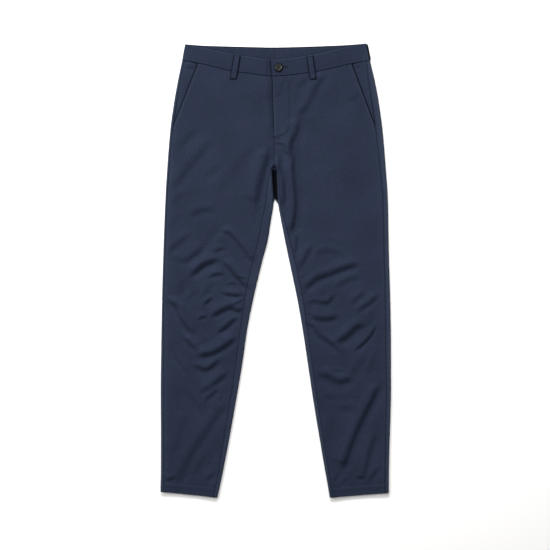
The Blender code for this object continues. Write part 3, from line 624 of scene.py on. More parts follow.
def lay_cloth(name, points, wear_and_painted_light, flip=False, gap=None, closed=False):
    """A piece of cloth on its face's points; gap=(row, column) leaves out the cells above and past them."""
    rows, columns = points.shape[0] - 1, points.shape[1] - 1
    bm = bmesh.new()
    bmesh.ops.create_grid(bm, x_segments=columns, y_segments=rows, size=1.0)
    if gap:
        row_edge, column_edge = (2.0 * at / count - 1.0 for at, count in zip(gap, (rows, columns)))
        gone = [face for face in bm.faces if face.calc_center_median().y < row_edge
                and face.calc_center_median().x > column_edge]
        bmesh.ops.delete(bm, geom=gone, context="FACES")
    if flip:
        bmesh.ops.reverse_faces(bm, faces=bm.faces)
    piece = make_piece(name, bm, twill)
    set_points(piece.data, points, wear_and_painted_light)
    if closed:
        bm = bmesh.new()
        bm.from_mesh(piece.data)
        bmesh.ops.remove_doubles(bm, verts=bm.verts, dist=0.002 * MM)
        bmesh.ops.recalc_face_normals(bm, faces=bm.faces)
        bm.to_mesh(piece.data)
        bm.free()
    else:
        ply = piece.modifiers.new("ply", "SOLIDIFY")
        ply.thickness = PLY * MM
        ply.offset = -1.0
    piece.data.shade_smooth()
    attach(piece, "root")
    return piece


def skin(x, y, z):
    return np.stack(np.broadcast_arrays(x, y, z), axis=-1)


def edge_shade(depth):
    """Painted shade at a depth below the cloth's face: it goes dark where an edge turns down into a seam."""
    return -smooth((depth + 0.02) / 0.16)


def rim_highlight(side, p, y):
    """Painted highlight on the cloth near a leg's outer fold."""
    return RIM_HIGHLIGHT * np.exp(-np.maximum(out_edge(side, y) - p, 0.0) / RIM_REACH)


def row_seam_shade(level):
    """Painted seam shade on the rows at the panels' ends: stronger in the waist seam than at the hem."""
    return np.where(level > HEM_Y + 2.0, WAIST_SEAM_SHADE, HEM_FOLD_SHADE)


def edge_seam_shade(level, share, side):
    """Painted seam shade on a panel's long edges: the fly and the mouths more than the leg seams below."""
    leg_seam = np.where(share > 0.5, SIDE_SEAM_SHADE[side], LEG_SEAM_SHADE)
    return between(leg_seam, WAIST_SEAM_SHADE, smooth((level - FLY_END_Y) / 20.0))


def beside_loops(x, y):
    """How far the cloth is shaded round the loops that stand off it, less on the side towards the light."""
    shade = 0.0
    for (top_x, top_y), (end_x, end_y) in FRONT_LOOPS.values():
        off = x - between(top_x, end_x, (y - top_y) / (end_y - top_y))
        past = np.hypot(np.maximum(np.abs(off) - LOOP_WIDTH / 2.0, 0.0), np.maximum(end_y - y, 0.0))
        near = np.where((off > 0.0) | (y < end_y), 1.0, 0.6) * smooth((2.9 - past) / 1.9)
        shade = np.maximum(shade, near * (y < top_y))
    return shade


LEG_ROWS = np.concatenate([np.linspace(WAIST_Y - 3.0, FORK_Y, 96), np.linspace(FORK_Y, ROLL_Y, 6)[1:],
                           np.linspace(ROLL_Y, HEM_Y + 3.0, 292)[1:]])
for side, sign in SIDES.items():
    level, row_depth = cloth_rows(LEG_ROWS)
    edge_in, edge_depth = folded_edge(TURN_UNDER)
    inner_share = np.linspace(0.03, 0.97, 78)
    share = np.concatenate([np.zeros(len(edge_in)), inner_share, np.ones(len(edge_in))])
    shift = np.concatenate([edge_in[::-1], np.zeros(len(inner_share)), -edge_in])
    side_depth = np.concatenate([edge_depth[::-1], np.zeros(len(inner_share)), edge_depth])
    depth = row_depth + side_depth

    def inside(y):
        middle = sign * fly_line(y)
        if side == "right":
            middle = middle - FLY_UNDERLAP * smooth((y - FLY_END_Y - 2.0) / 10.0)
        return between(middle, inseam(side, y), np.clip((FORK_Y - y) / (FORK_Y - ROLL_Y), 0.0, 1.0))

    def outside(y):
        return np.minimum(pocket_mouth(side, y), side_seam(side, y))

    p, y = settle(side, level, 0.0, lambda y: between(inside(y), outside(y), share) + shift)
    x = sign * p
    top = height(x, y)
    # Real wear at the pocket mouth, the lap and the hem; painted highlight near the outer fold; painted shade
    # round the loops and in the seams.
    wear_and_painted_light = MOUTH_WEAR * bell(outside(y) - p, EDGE_WEAR_REACH) * (y > POCKET_MOUTH[side]["y"][1])
    wear_and_painted_light = wear_and_painted_light + HEM_WEAR * bell(y - hem_line(side, p), HEM_WEAR_REACH) + rim_highlight(side, p, y)
    if side == "left":
        wear_and_painted_light = wear_and_painted_light + LAP_WEAR * bell(p - inside(y), EDGE_WEAR_REACH) * (y > FLY_END_Y)
    else:
        # Painted shade on the right front beside the lap.
        covered = np.maximum(fly_line(y) - x, 0.0)
        wear_and_painted_light = wear_and_painted_light - FLY_SHADE * bell(covered, FLY_SHADE_REACH) * smooth((y - FLY_END_Y) / 30.0)
        under_lap = smooth((x - fly_line(y) + FLY_DIP) / (FLY_DIP - 2.0))
        top = top - LAYER_DROP * under_lap * smooth((y - FLY_END_Y + 20.0) / 20.0)
    wear_and_painted_light = np.clip(wear_and_painted_light, -1.0, MOST_LIGHTENED) - beside_loops(x, y)
    seam_shading = np.minimum(row_seam_shade(level) * edge_shade(row_depth),
                       edge_seam_shade(level, share, side) * edge_shade(side_depth))
    wear_and_painted_light = np.where(depth > 0.0, seam_shading, np.maximum(wear_and_painted_light, -1.0))
    points = skin(x, y, top - depth)
    piece = lay_cloth(side + "_front", points, wear_and_painted_light, flip=side == "left")
    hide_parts("front_" + side)
    panel_area(points)

# Backs. Two panels of the same twill, each from the side seam on top round the outer fold and along the table
# to the centre back seam, and on the leg round the inner fold up to the inseam. Between the legs the seat
# turns up off the table. They lie flat where they rest.
BACK_SEAM_X = -2.0     # centre back seam
SEAT_Y = 166.0         # lowest point of the seat between the legs
SEAT_TIP = 1.5         # radius of the fold where the seat turns up between the legs
SEAT_BLEND = 14.0      # it goes over into the leg's fold in this length
LOOP_LIFT = 1.9        # the belt loops below it keep the stiff back waistband off the table
LIFT_DROP = 31.0       # how far below the waist seam the back starts down to the table
LIFT_RAMP = 40.0
BACK_TURN = 1.5        # the back's allowance is trimmed close
ROLL_HIGHLIGHT = {"left": 1.2, "right": 0.6}     # painted highlight on the pressed inner folds
ROLL_SHADE = {"left": 0.0, "right": 0.42}   # painted shade: below the fork the right one is turned from the light
ROLL_SHADE_Y, ROLL_SHADE_LENGTH = 112.0, 34.0


def table_lift(x, y):
    """How far the back layer lies off the table, near the belt loops below it."""
    foot = waistline("back_seam", x) - LIFT_DROP - LIFT_RAMP
    return LOOP_LIFT * smooth((y - foot) / LIFT_RAMP)


for side, sign in SIDES.items():
    level, row_depth = cloth_rows(LEG_ROWS)
    edge_in, edge_depth = folded_edge(BACK_TURN, 1)
    centre = sign * BACK_SEAM_X
    seat = smooth((level - SEAT_Y + SEAT_BLEND) / SEAT_BLEND)
    on_leg = level < ROLL_Y + 0.5
    columns, painted_light_and_wear = [], []

    # Each column's change of colour: painted highlight on the folds and the strip beside the side seam, and
    # painted shade in the seams, in the gap between the legs and on the right roll below the fork.
    def add(p, y, z, inward_p, inward_z, depth=0.0, worn_and_painted_light=0.0, seam_shading=LEG_SEAM_SHADE):
        reach = depth + row_depth
        tucked = np.minimum(row_seam_shade(level) * edge_shade(row_depth), seam_shading * edge_shade(depth))
        painted_light_and_wear.append(np.where(reach > 0.0, tucked, worn_and_painted_light))
        columns.append(skin(sign * (p + reach * inward_p), y, z + reach * inward_z))

    def radius(y):
        return (EDGE_TOP - table_lift(sign * out_edge(side, y), y)) / 2.0

    def crest(y):
        return inner_edge(side, y) + EDGE_RADIUS

    def seat_tip(y):
        return SEAT_TIP * np.clip((ROLL_Y - y) / 10.0, 0.04, 1.0)

    def table_end(y):
        return between(np.where(on_leg, crest(y), centre), centre + on_leg * seat_tip(y), seat)

    def roll_shade(y):
        return ROLL_SHADE[side] * bell(y - ROLL_SHADE_Y, ROLL_SHADE_LENGTH)

    for way_in, depth in zip(edge_in[::-1], edge_depth[::-1]):
        p, y = settle(side, level, 0.0, lambda y: side_seam(side, y) + way_in)
        add(p, y, height(sign * p, y), 0.0, -1.0, depth, seam_shading=SIDE_SEAM_SHADE[side])
    for part in (0.25, 0.5, 0.75, 1.0):
        p, y = settle(side, level, 0.0, lambda y: between(side_seam(side, y) + EDGE_ROUND,
                                                          out_edge(side, y) - radius(y), part))
        add(p, y, height(sign * p, y), 0.0, -1.0, worn_and_painted_light=rim_highlight(side, p, y) + BACK_STRIP_HIGHLIGHT[side])
    for turn in np.radians(np.linspace(90.0, -90.0, 11))[1:]:
        under = 0.5 - 0.5 * math.sin(turn)
        p, y = settle(side, level, under, lambda y: out_edge(side, y) - radius(y) * (1.0 - math.cos(turn)))
        add(p, y, EDGE_TOP - radius(y) * (1.0 - math.sin(turn)), -math.cos(turn), -math.sin(turn),
            worn_and_painted_light=RIM_HIGHLIGHT * math.cos(turn / 2.0) ** 2)
    for part in np.linspace(0.0, 1.0, 25)[1:]:
        p, y = settle(side, level, 1.0, lambda y: between(out_edge(side, y) - radius(y), table_end(y), part))
        add(p, y, table_lift(sign * p, y), 0.0, 1.0)
    flat_columns = len(columns) - 1

    for part in np.linspace(0.0, 1.0, 13)[1:]:
        turn = math.radians(180.0 * part - 90.0)
        tip = math.radians(360.0 * min(part, 0.5) - 90.0)
        rise = max(2.0 * part - 1.0, 0.0)
        p, y = settle(side, level, 1.0, lambda y: crest(y) - EDGE_RADIUS * math.cos(turn))
        seat_end = centre + seat_tip(y)
        seat_p = between(seat_end, crest(y), rise) - seat_tip(y) * math.cos(tip)
        seat_z = seat_tip(y) * (1.0 + math.sin(tip)) + (EDGE_TOP - 2.0 * seat_tip(y)) * smooth(rise)
        # Painted shade: the seat's cloth deep between the legs is painted dark.
        sunk = seat * smooth((inner_edge(side, y) + 1.4 - seat_p) / 1.2)
        add(between(p, seat_p, seat), y, between(EDGE_RADIUS * (1.0 + math.sin(turn)), seat_z, seat),
            between(math.cos(turn), math.cos(tip), seat), -between(math.sin(turn), math.sin(tip), seat),
            worn_and_painted_light=ROLL_HIGHLIGHT[side] * math.cos(turn / 2.0) ** 2 * (1.0 - seat) - sunk - roll_shade(y))
    for part in (0.2, 0.4, 0.6, 0.8, 1.0):
        p, y = settle(side, level, 0.0, lambda y: between(crest(y), inseam(side, y) - EDGE_ROUND, part))
        worn_and_painted_light = ROLL_HIGHLIGHT[side] * np.exp((inner_edge(side, y) - p) / RIM_REACH) + 0.2
        add(p, y, height(sign * p, y), 0.0, -1.0, worn_and_painted_light=worn_and_painted_light - roll_shade(y) * math.exp(-part))
    for way_in, depth in zip(edge_in[1:], edge_depth[1:]):
        p, y = settle(side, level, 0.0, lambda y: inseam(side, y) - way_in)
        add(p, y, height(sign * p, y), 0.0, -1.0, depth)
    points = np.concatenate(columns, axis=1)
    wear_and_painted_light = np.clip(np.concatenate(painted_light_and_wear, axis=1), -1.0, MOST_LIGHTENED)
    fork_row = int(np.argmax(on_leg))
    piece = lay_cloth(side + "_back", points, wear_and_painted_light, flip=side == "left", gap=(fork_row, flat_columns))
    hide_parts("back_" + side)
    leg_part = panel_area(points[fork_row:]) + panel_area(points[:fork_row + 1, :flat_columns + 1])

# Pocket facings. A strip of twill under each slanted mouth, sewn into the side seam and the waist seam. It
# sinks under the front towards the mouth, where painted shadow from the mouth's edge darkens it.
POCKET_UNDERLAP = 8.0
POCKET_SLOPE = 25.0
POCKET_END_Y = 333.0
MOUTH_SHADE = 0.95
MOUTH_SHADE_REACH = 2.6

for side, sign in SIDES.items():
    level, row_depth = cloth_rows(np.linspace(WAIST_Y - 3.0, POCKET_END_Y, 62), hem=False)
    edge_in, edge_depth = folded_edge(BACK_TURN, 1)
    share = np.concatenate([np.linspace(0.0, 0.94, 22), np.ones(len(edge_in))])
    shift = np.concatenate([np.zeros(22), -edge_in])
    side_depth = np.concatenate([np.zeros(22), edge_depth])
    depth = row_depth + side_depth
    p, y = settle(side, level, 0.0, lambda y: between(pocket_mouth(side, y) - POCKET_UNDERLAP,
                                                      side_seam(side, y), share) + shift)
    past_mouth = p - pocket_mouth(side, y)
    sunk = 1.0 - smooth(past_mouth / POCKET_SLOPE)
    points = skin(sign * p, y, height(sign * p, y) - LAYER_DROP * sunk - depth)
    # Painted highlight near the outer fold, and painted shadow of the mouth's edge on the facing.
    wear_and_painted_light = rim_highlight(side, p, y) - MOUTH_SHADE * bell(np.maximum(past_mouth, 0.0), MOUTH_SHADE_REACH)
    seam_shading = np.minimum(WAIST_SEAM_SHADE * edge_shade(row_depth), SIDE_SEAM_SHADE[side] * edge_shade(side_depth))
    wear_and_painted_light = np.where(depth > 0.0, seam_shading, wear_and_painted_light)
    piece = lay_cloth(side + "_pocket_facing", points, wear_and_painted_light, flip=side == "left")
    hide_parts("pocket_" + side)
    panel_area(points)

# Waistband. Two halves of doubled twill with a stiffener between, each from the centre back round the side
# fold to the centre front, folded along the top and sewn to the panels below. The left half laps over the
# right one.
BAND = 1.8             # thickness of the band
BAND_PROUD = 0.6       # the band stands above the fronts
BAND_CROWN = 0.25      # it is a little fuller along its middle
BAND_TOP = {"left": (209.1, 522.0), "right": (208.4, 520.0)}      # top corner of each side fold
BAND_UNDERLAP_X = 25.0
BAND_DIP = 14.0        # the right half sinks under the lap over this width
BAND_DROP = 2.2
BUTT_ROUND = 0.03      # the halves meet squarely at the centre back
LAP_SLANT = (-8.6, -11.6)      # end of the lap at the waist seam and at the top
BUTTON_X, BUTTON_Y = 6.9, 466.3
BUTTON_RADIUS = 9.0
BUTTONHOLE_END = 26.6
BUTTONHOLE_Y = 467.2
BAND_DARKENING = 0.08    # the band is painted a little darker than the panels
BAND_TOP_HIGHLIGHT = 0.7    # painted highlight along its top edge
BAND_RIM_HIGHLIGHT = 0.45   # painted highlight on its side folds
BACK_TOP_HIGHLIGHT = 0.5    # painted highlight just below the back's top edge, seen from inside
BACK_TOP_SHADE = 0.7   # and painted shade along the edge itself
BAND_SHADE, BAND_SHADE_REACH = 0.3, 2.4     # painted shadow on the back just above the front's top edge
LAP_SHADE, LAP_SHADE_REACH = 0.55, 3.6      # and painted shade on the right half beside the lap
RING_SHADE = 0.9       # shade round the button and in the buttonhole
LOOP_SHADE = 1.1       # and under the left side loop's edge


def flat_tube(thick, face_steps, round_steps=5):
    """Section of a doubled strip as a closed loop: share of the way from its first edge to its second,
    nudge in from those edges, and depth below its face."""
    turn = np.radians(np.concatenate([
        np.linspace(0, 90, round_steps + 1), np.full(face_steps, 90),
        np.linspace(90, -90, 2 * round_steps + 1),
        np.full(face_steps, -90), np.linspace(-90, 0, round_steps + 1)]))
    face = np.linspace(0.0, 1.0, face_steps + 2)[1:-1]
    share = np.concatenate([np.zeros(round_steps + 1), face, np.ones(2 * round_steps + 1), face[::-1],
                            np.zeros(round_steps + 1)])
    return share, thick / 2.0 * (1.0 - np.cos(turn)) * (1.0 - 2.0 * share), thick / 2.0 * (1.0 - np.sin(turn))


def round_end(thick, steps=5):
    """Way in from a strip's closed end, and share of the thickness there, from the end inwards."""
    turn = np.radians(np.linspace(0.0, 90.0, steps + 1))
    return thick / 2.0 * (1.0 - np.cos(turn)), np.sin(turn)


def edge_roll_shade(depth, thick):
    """Painted shade round a doubled strip's edge, dark where it rolls away from either face."""
    return edge_shade(thick / 2.0 * (1.0 - np.abs(2.0 * depth / thick - 1.0)))


def band_face(x, up):
    """Top of the front waistband at a share of the way up it."""
    return height(x, waistline("front_seam", x)) + BAND_PROUD + BAND_CROWN * np.sin(math.pi * up)


def over_band(x, y):
    """How far the front of the band is shaded round the button, in the buttonhole and beside the loops."""
    ring = np.hypot(x - BUTTON_X, y - BUTTON_Y) - BUTTON_RADIUS
    in_slit = (x > BUTTON_X) & (x < BUTTONHOLE_END + 0.6)
    shade = RING_SHADE * np.maximum(smooth((1.9 - ring) / 1.5), in_slit * bell(y - BUTTONHOLE_Y, 0.9))
    return np.maximum(shade, beside_loops(x, y))


band_up, band_nudge, band_depth = (values[:, None] for values in flat_tube(BAND, 26))
end_in, end_thick = round_end(BAND)
lap_edge = between(*LAP_SLANT, band_up)
for side, sign in SIDES.items():
    low_out = float(out_edge(side, WAIST_Y))
    top_out, top_y = BAND_TOP[side]
    out = between(low_out, top_out, band_up)
    centre = sign * BACK_SEAM_X
    band_top = EDGE_TOP + BAND_PROUD
    radius = (band_top - table_lift(sign * low_out, WAIST_Y)) / 2.0
    front_end = lap_edge if side == "left" else -BAND_UNDERLAP_X
    columns = []

    def add(p, under, z, inward_p, inward_z, thick=1.0):
        x = sign * p
        seam, top = (between(waistline("front_" + edge, x), waistline("back_" + edge, x), under)
                     for edge in ("seam", "top"))
        top = between(top, top_y, smooth((p - low_out + 30.0) / 30.0))
        crown = BAND_CROWN * np.sin(math.pi * band_up) * (1.0 - band_depth / BAND) * (inward_z < 0)
        reach = BAND / 2.0 + (band_depth - BAND / 2.0) * thick - crown
        y = between(seam, top, band_up) + band_nudge
        columns.append(skin(sign * (p + reach * inward_p), y, z + reach * inward_z))

    def add_back(p, thick=1.0):
        add(p, 1.0, table_lift(sign * p, WAIST_Y), 0.0, 1.0, thick)

    def add_front(p, thick=1.0):
        z = band_face(sign * p, 0.0)
        if side == "right":
            z = z - BAND_DROP * smooth((sign * p - fly_line(WAIST_Y) + BAND_DIP) / (BAND_DIP - 4.0))
        add(p, 0.0, z, 0.0, -1.0, thick)

    for way_in, thick in zip(BUTT_ROUND * end_in, end_thick):
        add_back(centre + way_in + 0.0 * band_up, thick)
    for part in np.concatenate([[0.0012, 0.004], np.linspace(0.0, 1.0, 58)[1:]]):
        add_back(between(centre + end_in[-1], out - radius, part))
    back_columns = len(columns)
    for turn in np.radians(np.linspace(-90.0, 90.0, 12))[1:-1]:
        add(out - radius * (1.0 - math.cos(turn)), 0.5 - 0.5 * math.sin(turn),
            band_top - radius * (1.0 - math.sin(turn)), -math.cos(turn), -math.sin(turn))
    for part in np.linspace(0.0, 1.0, 150):
        add_front(between(out - radius, front_end + end_in[-1], part))
    for way_in, thick in zip(end_in[-2::-1], end_thick[-2::-1]):
        add_front(front_end + way_in + 0.0 * band_up, thick)
    points = np.concatenate(columns, axis=1)
    back_part = np.arange(points.shape[1]) < back_columns
    x, y = points[..., 0], points[..., 1]
    # Painted highlight and painted shade along the top edges, painted seam shade along the lower edge, and
    # painted highlight on the side folds.
    back_top_light_and_shade = BACK_TOP_HIGHLIGHT * bell(band_up - 0.92, 0.03)
    back_top_light_and_shade = back_top_light_and_shade - BACK_TOP_SHADE * smooth((band_up - 0.95) / 0.02)
    top_light_and_shade = np.where(back_part, back_top_light_and_shade, BAND_TOP_HIGHLIGHT * smooth(1.0 - (1.0 - band_up) * 18.0))
    wear_and_painted_light = np.where(band_up < 0.01, WAIST_SEAM_SHADE * edge_roll_shade(band_depth, BAND), top_light_and_shade)
    wear_and_painted_light = wear_and_painted_light + BAND_RIM_HIGHLIGHT * np.exp(-np.maximum(top_out - np.abs(x), 0.0) / RIM_REACH)
    # Painted shadow of the front's top edge on the back's inside; painted shade round the button, in the
    # buttonhole and beside the loops.
    behind_front = np.maximum(y - waistline("front_top", x), 0.0)
    covered = BAND_SHADE * bell(behind_front, BAND_SHADE_REACH)
    wear_and_painted_light = wear_and_painted_light - np.where(back_part, covered, over_band(x, y))
    if side == "left":
        # Painted shade at the end of the lap and under the left side loop's edge.
        lap_end_shade = edge_shade(BAND / 2.0 * (1.0 - end_thick[::-1]))
        wear_and_painted_light[:, -len(end_in):] = np.minimum(wear_and_painted_light[:, -len(end_in):], lap_end_shade)
        wear_and_painted_light = wear_and_painted_light - LOOP_SHADE * smooth((x - out + 2.3) / 1.1)
    else:
        beside_lap = LAP_SHADE * bell(np.maximum(lap_edge - x, 0.0), LAP_SHADE_REACH)
        wear_and_painted_light = wear_and_painted_light - np.where(back_part, 0.0, beside_lap)
    piece = lay_cloth(side + "_waistband", points, np.clip(wear_and_painted_light - BAND_DARKENING, -1.0, 1.0), closed=True)
    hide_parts("waistband_" + side)
    panel_area(points) / 2.0

# Belt loops. Strips of twill folded in three, topstitched along both edges, turned under and tacked at the
# ends. Two lie on the front, one goes round the left side, and two more lie under the back.
LOOP = 1.5             # thickness of a loop
LOOP_LENGTH = 59.0
LOOP_ROLL = 1.6        # its folded edges roll off softly
LOOP_CORNER = 2.6      # its lower corners are rounded
LOOP_CLEAR = 0.5       # a loop stands this far off the band
LOOP_DROP = 17.0       # how far a loop reaches below the waist seam
LOOP_BULGE = 1.2
LOOP_HEEL = 0.3        # the lower end is doubled under
LOOP_BEND = 1.3        # and the upper end bends over the band's top
LOOP_SEW = 2.5         # from a loop's edge to its stitching
SEW_SINK = 0.28        # the stitching pulls the cloth down
SIDE_LOOP_X = -182.0
SIDE_LOOP_TOP = 1.5    # the left side loop starts this far below the band's corner
LEFT_LOOP_FLAT = 9.0   # flat part of the left side loop, which turns up round the fold
SIDE_LOOP_OUT = 1.4    # it stands off the fold beside the band
LOOP_TUCK = 3.2        # below the band it lies further under
loop_across, loop_nudge, loop_depth = flat_tube(LOOP, 16)
loop_across = (loop_across - 0.5) * LOOP_WIDTH + LOOP_ROLL * loop_nudge


def front_loop_place(side):
    """Places points of a loop on the front: across it, along it from the top, and above its underside."""
    (top_x, top_y), (end_x, end_y) = FRONT_LOOPS[side]

    def place(across, along, lift):
        x = between(top_x, end_x, along) + across
        y = between(top_y, end_y, along) + across * (end_x - top_x) / (top_y - end_y)
        seam = waistline("front_seam", x)
        base = height(x, np.minimum(y, seam)) + BAND_PROUD * smooth((y - seam + 8.0) / 8.0) + LOOP_CLEAR
        heel = LOOP_HEEL * smooth((along - 0.86) / 0.05) * lift / LOOP
        over_top = LOOP_BEND * smooth((0.05 - along) / 0.05)
        return skin(x, y, base + LOOP_BULGE * np.sin(math.pi * along) ** 2 + lift + heel - over_top)
    return place


def table_loop_place(centre):
    """The same for a loop that lies on the table, its face down."""
    top = float(waistline("back_top", centre)) - 1.0
    end = float(waistline("back_seam", centre)) - LOOP_DROP

    def place(across, along, lift):
        return skin(centre - across, between(top, end, along), LOOP - lift)
    return place


def side_loop_place(across, along, lift):
    """The same for the left side's loop, which lies on the table and turns up round the fold."""
    top_out, top_y = BAND_TOP["left"]
    y = between(top_y - SIDE_LOOP_TOP, WAIST_Y - LOOP_DROP, along)
    on_band = np.clip((y - WAIST_Y) / (top_y - WAIST_Y), 0.0, 1.0)
    fold_radius = (EDGE_TOP + BAND_PROUD - LOOP_LIFT) / 2.0
    fold_x = between(out_edge("left", np.minimum(y, WAIST_Y)), top_out, on_band) - fold_radius
    above_seam = smooth((y - WAIST_Y + 1.0) / 4.0)
    from_edge = across + LOOP_WIDTH / 2.0 - LEFT_LOOP_FLAT - LOOP_TUCK * (1.0 - above_seam)
    turn = np.maximum(from_edge, 0.0) / (fold_radius + LOOP_CLEAR + LOOP / 2.0) - math.pi / 2.0
    reach = fold_radius + LOOP_CLEAR + lift
    x = fold_x + np.minimum(from_edge, 0.0) + reach * np.cos(turn) + SIDE_LOOP_OUT * above_seam
    return skin(x, y, LOOP_LIFT + fold_radius + reach * np.sin(turn))


LOOP_PLACES = {
    # its node, what it rests on, the side its face looks to, and its way on the body
    "left_front_loop": ("loop_front_left", "left_waistband", (0, 0, 1), front_loop_place("left")),
    "right_front_loop": ("loop_front_right", "right_waistband", (0, 0, 1), front_loop_place("right")),
    "left_side_loop": ("loop_side_left", "left_waistband", (0, 0, 1), side_loop_place),
    "right_side_loop": ("loop_side_right", "table", (0, 0, -1), table_loop_place(SIDE_LOOP_X)),
    "back_loop": ("loop_back", "table", (0, 0, -1), table_loop_place(BACK_SEAM_X)),
}
end_in, end_thick = round_end(LOOP)
along = np.concatenate([end_in / LOOP_LENGTH, np.linspace(0.02, 0.94, 32), np.linspace(0.95, 0.985, 6),
                        1.0 - end_in[::-1] / LOOP_LENGTH])[:, None]
thick = np.concatenate([end_thick, np.ones(38), end_thick[::-1]])[:, None]
turning = np.clip(((along - 1.0) * LOOP_LENGTH + LOOP_CORNER) / LOOP_CORNER, 0.0, 1.0)
narrow = 1.0 - 2.0 * LOOP_CORNER * (1.0 - np.sqrt(1.0 - turning ** 2)) / LOOP_WIDTH
from_side = np.abs(loop_across) - LOOP_WIDTH / 2.0
groove = SEW_SINK * bell(from_side + LOOP_SEW, 0.8)
lift = LOOP / 2.0 + (LOOP / 2.0 - loop_depth - groove * (1.0 - loop_depth / LOOP)) * thick
at_edge = (loop_depth > 0.0) & (loop_depth < LOOP)
# Painted shade on the loops' rolled edges and at the doubled lower end; a little real wear on the face's
# edges.
loop_wear_and_shade = np.where(at_edge, edge_roll_shade(loop_depth, LOOP), 0.1 * smooth((from_side + 2.2) / 0.8))
loop_wear_and_shade = loop_wear_and_shade - 0.6 * smooth((along - 0.982) / 0.01)
for name, (node, under, facing, place) in LOOP_PLACES.items():
    points = place(loop_across[None, :] * narrow, along, lift)
    wear_and_painted_light = loop_wear_and_shade
    if name == "left_side_loop":
        # Painted shade on the side loop's outermost edge, turned from the light.
        from_outermost = points[..., 0] - points[..., 0].max(axis=1, keepdims=True)
        wear_and_painted_light = wear_and_painted_light - 0.9 * smooth((from_outermost + 3.8) / 1.6)
    piece = lay_cloth(name, points, np.maximum(wear_and_painted_light, -1.0), closed=True)
    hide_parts(node)
    panel_area(points) / 2.0

# Topstitching. Navy thread, a shade lighter than the cloth, along the pocket mouths and round both hems;
# darker thread, sunk in the cloth, in a J beside the fly and along the belt loops. That thread's near-black
# colour is partly its own and partly painted shade of the sunk stitch lines. Bar tacks hold the ends.
STITCH = 3.6           # from one stitch to the next
STITCH_GAP = 0.11      # share of it that each end leaves free
THREAD = 0.30          # half the thread's thickness
MOUTH_SEW = 6.4        # from the pocket's folded mouth to its stitching
HEM_SEW = 1.5          # below the turned-up hem's raw edge
FLY_SEW = ((30.8, 444), (30.8, 400), (30.8, 345), (30.2, 332), (27.0, 322), (21.5, 315.5), (14, 311),
           (5, 308.6), (-3.0, 307.6))
TACK_STEP = 0.55
TACK_THREAD = 0.32
UP, DOWN = (0, 0, 1), (0, 0, -1)

THREADS = {"navy_thread": ((0.0220, 0.0300, 0.0540, 1.0), (0.0360, 0.0460, 0.0760, 1.0)),
           "midnight_thread_painted_shade": ((0.0040, 0.0056, 0.0110, 1.0), (0.0075, 0.0102, 0.0190, 1.0))}
for name, (hollow, crown) in THREADS.items():
    thread = new_material(name)
    twist = noise(thread, add_node(thread, "TexCoord", "Object"), 900.0)
    set_shader(thread, Base_Color=mixed(thread, ranged(thread, twist, 0.35, 0.65), hollow, crown),
               Roughness=ranged(thread, twist, 0.0, 1.0, 0.5, 0.75), Normal=bumped(thread, twist, 0.7, 0.1),
               Specular_IOR_Level=0.3)


def spaced(points, pitch):
    """Evenly spaced points along a line."""
    points = np.asarray(points, float)
    run = np.concatenate([[0.0], np.cumsum(np.linalg.norm(np.diff(points, axis=0), axis=1))])
    at = np.linspace(0.0, run[-1], max(2, int(round(run[-1] / pitch)) + 1))
    return np.stack([np.interp(at, run, axis) for axis in points.T], axis=1)


def add_stitch(bm, start, end, up=UP, thick=THREAD):
    """One stitch: a slim rounded bead from start to end, in mm."""
    way = Vector(end) - Vector(start)
    along = way.normalized()
    across = Vector(up).cross(along).normalized()
    middle = (Vector(start) + Vector(end)) / 2.0
    shape = Matrix((across * thick, along.cross(across) * -thick, way / 2.0)).transposed().to_4x4()
    bmesh.ops.create_uvsphere(bm, u_segments=6, v_segments=4, radius=MM,
                              matrix=Matrix.Translation(middle * MM) @ shape)


def sew(bm, points, up=UP, pitch=STITCH, thick=THREAD):
    """A row of stitches along a line on the cloth."""
    places = spaced(points, pitch)
    for start, end in zip(places, places[1:]):
        gap = STITCH_GAP * (end - start)
        add_stitch(bm, start + gap, end - gap, up, thick)


def bar_tack(bm, start, end, width):
    """A tack: close stitches across the line from start to end."""
    across = Vector(UP).cross(Vector(end) - Vector(start)).normalized() * width / 2.0
    for at in spaced([start, end], TACK_STEP):
        add_stitch(bm, Vector(at) - across, Vector(at) + across, thick=TACK_THREAD)


def finish_sewing(name, bm, thread="midnight_thread_painted_shade"):
    bmesh.ops.recalc_face_normals(bm, faces=bm.faces)
    piece = make_piece(name, bm, bpy.data.materials[thread])
    piece.data.shade_smooth()
    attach(piece, "root")


def on_front(way):
    """Points just above the front's face, from places across and along."""
    x, y = spaced(way, 1.2).T
    return skin(x, y, height(x, y) + 0.05)


def tack_front(bm, start, end, width=1.7):
    ends = on_front([start, end])
    bar_tack(bm, ends[0], ends[-1], width)


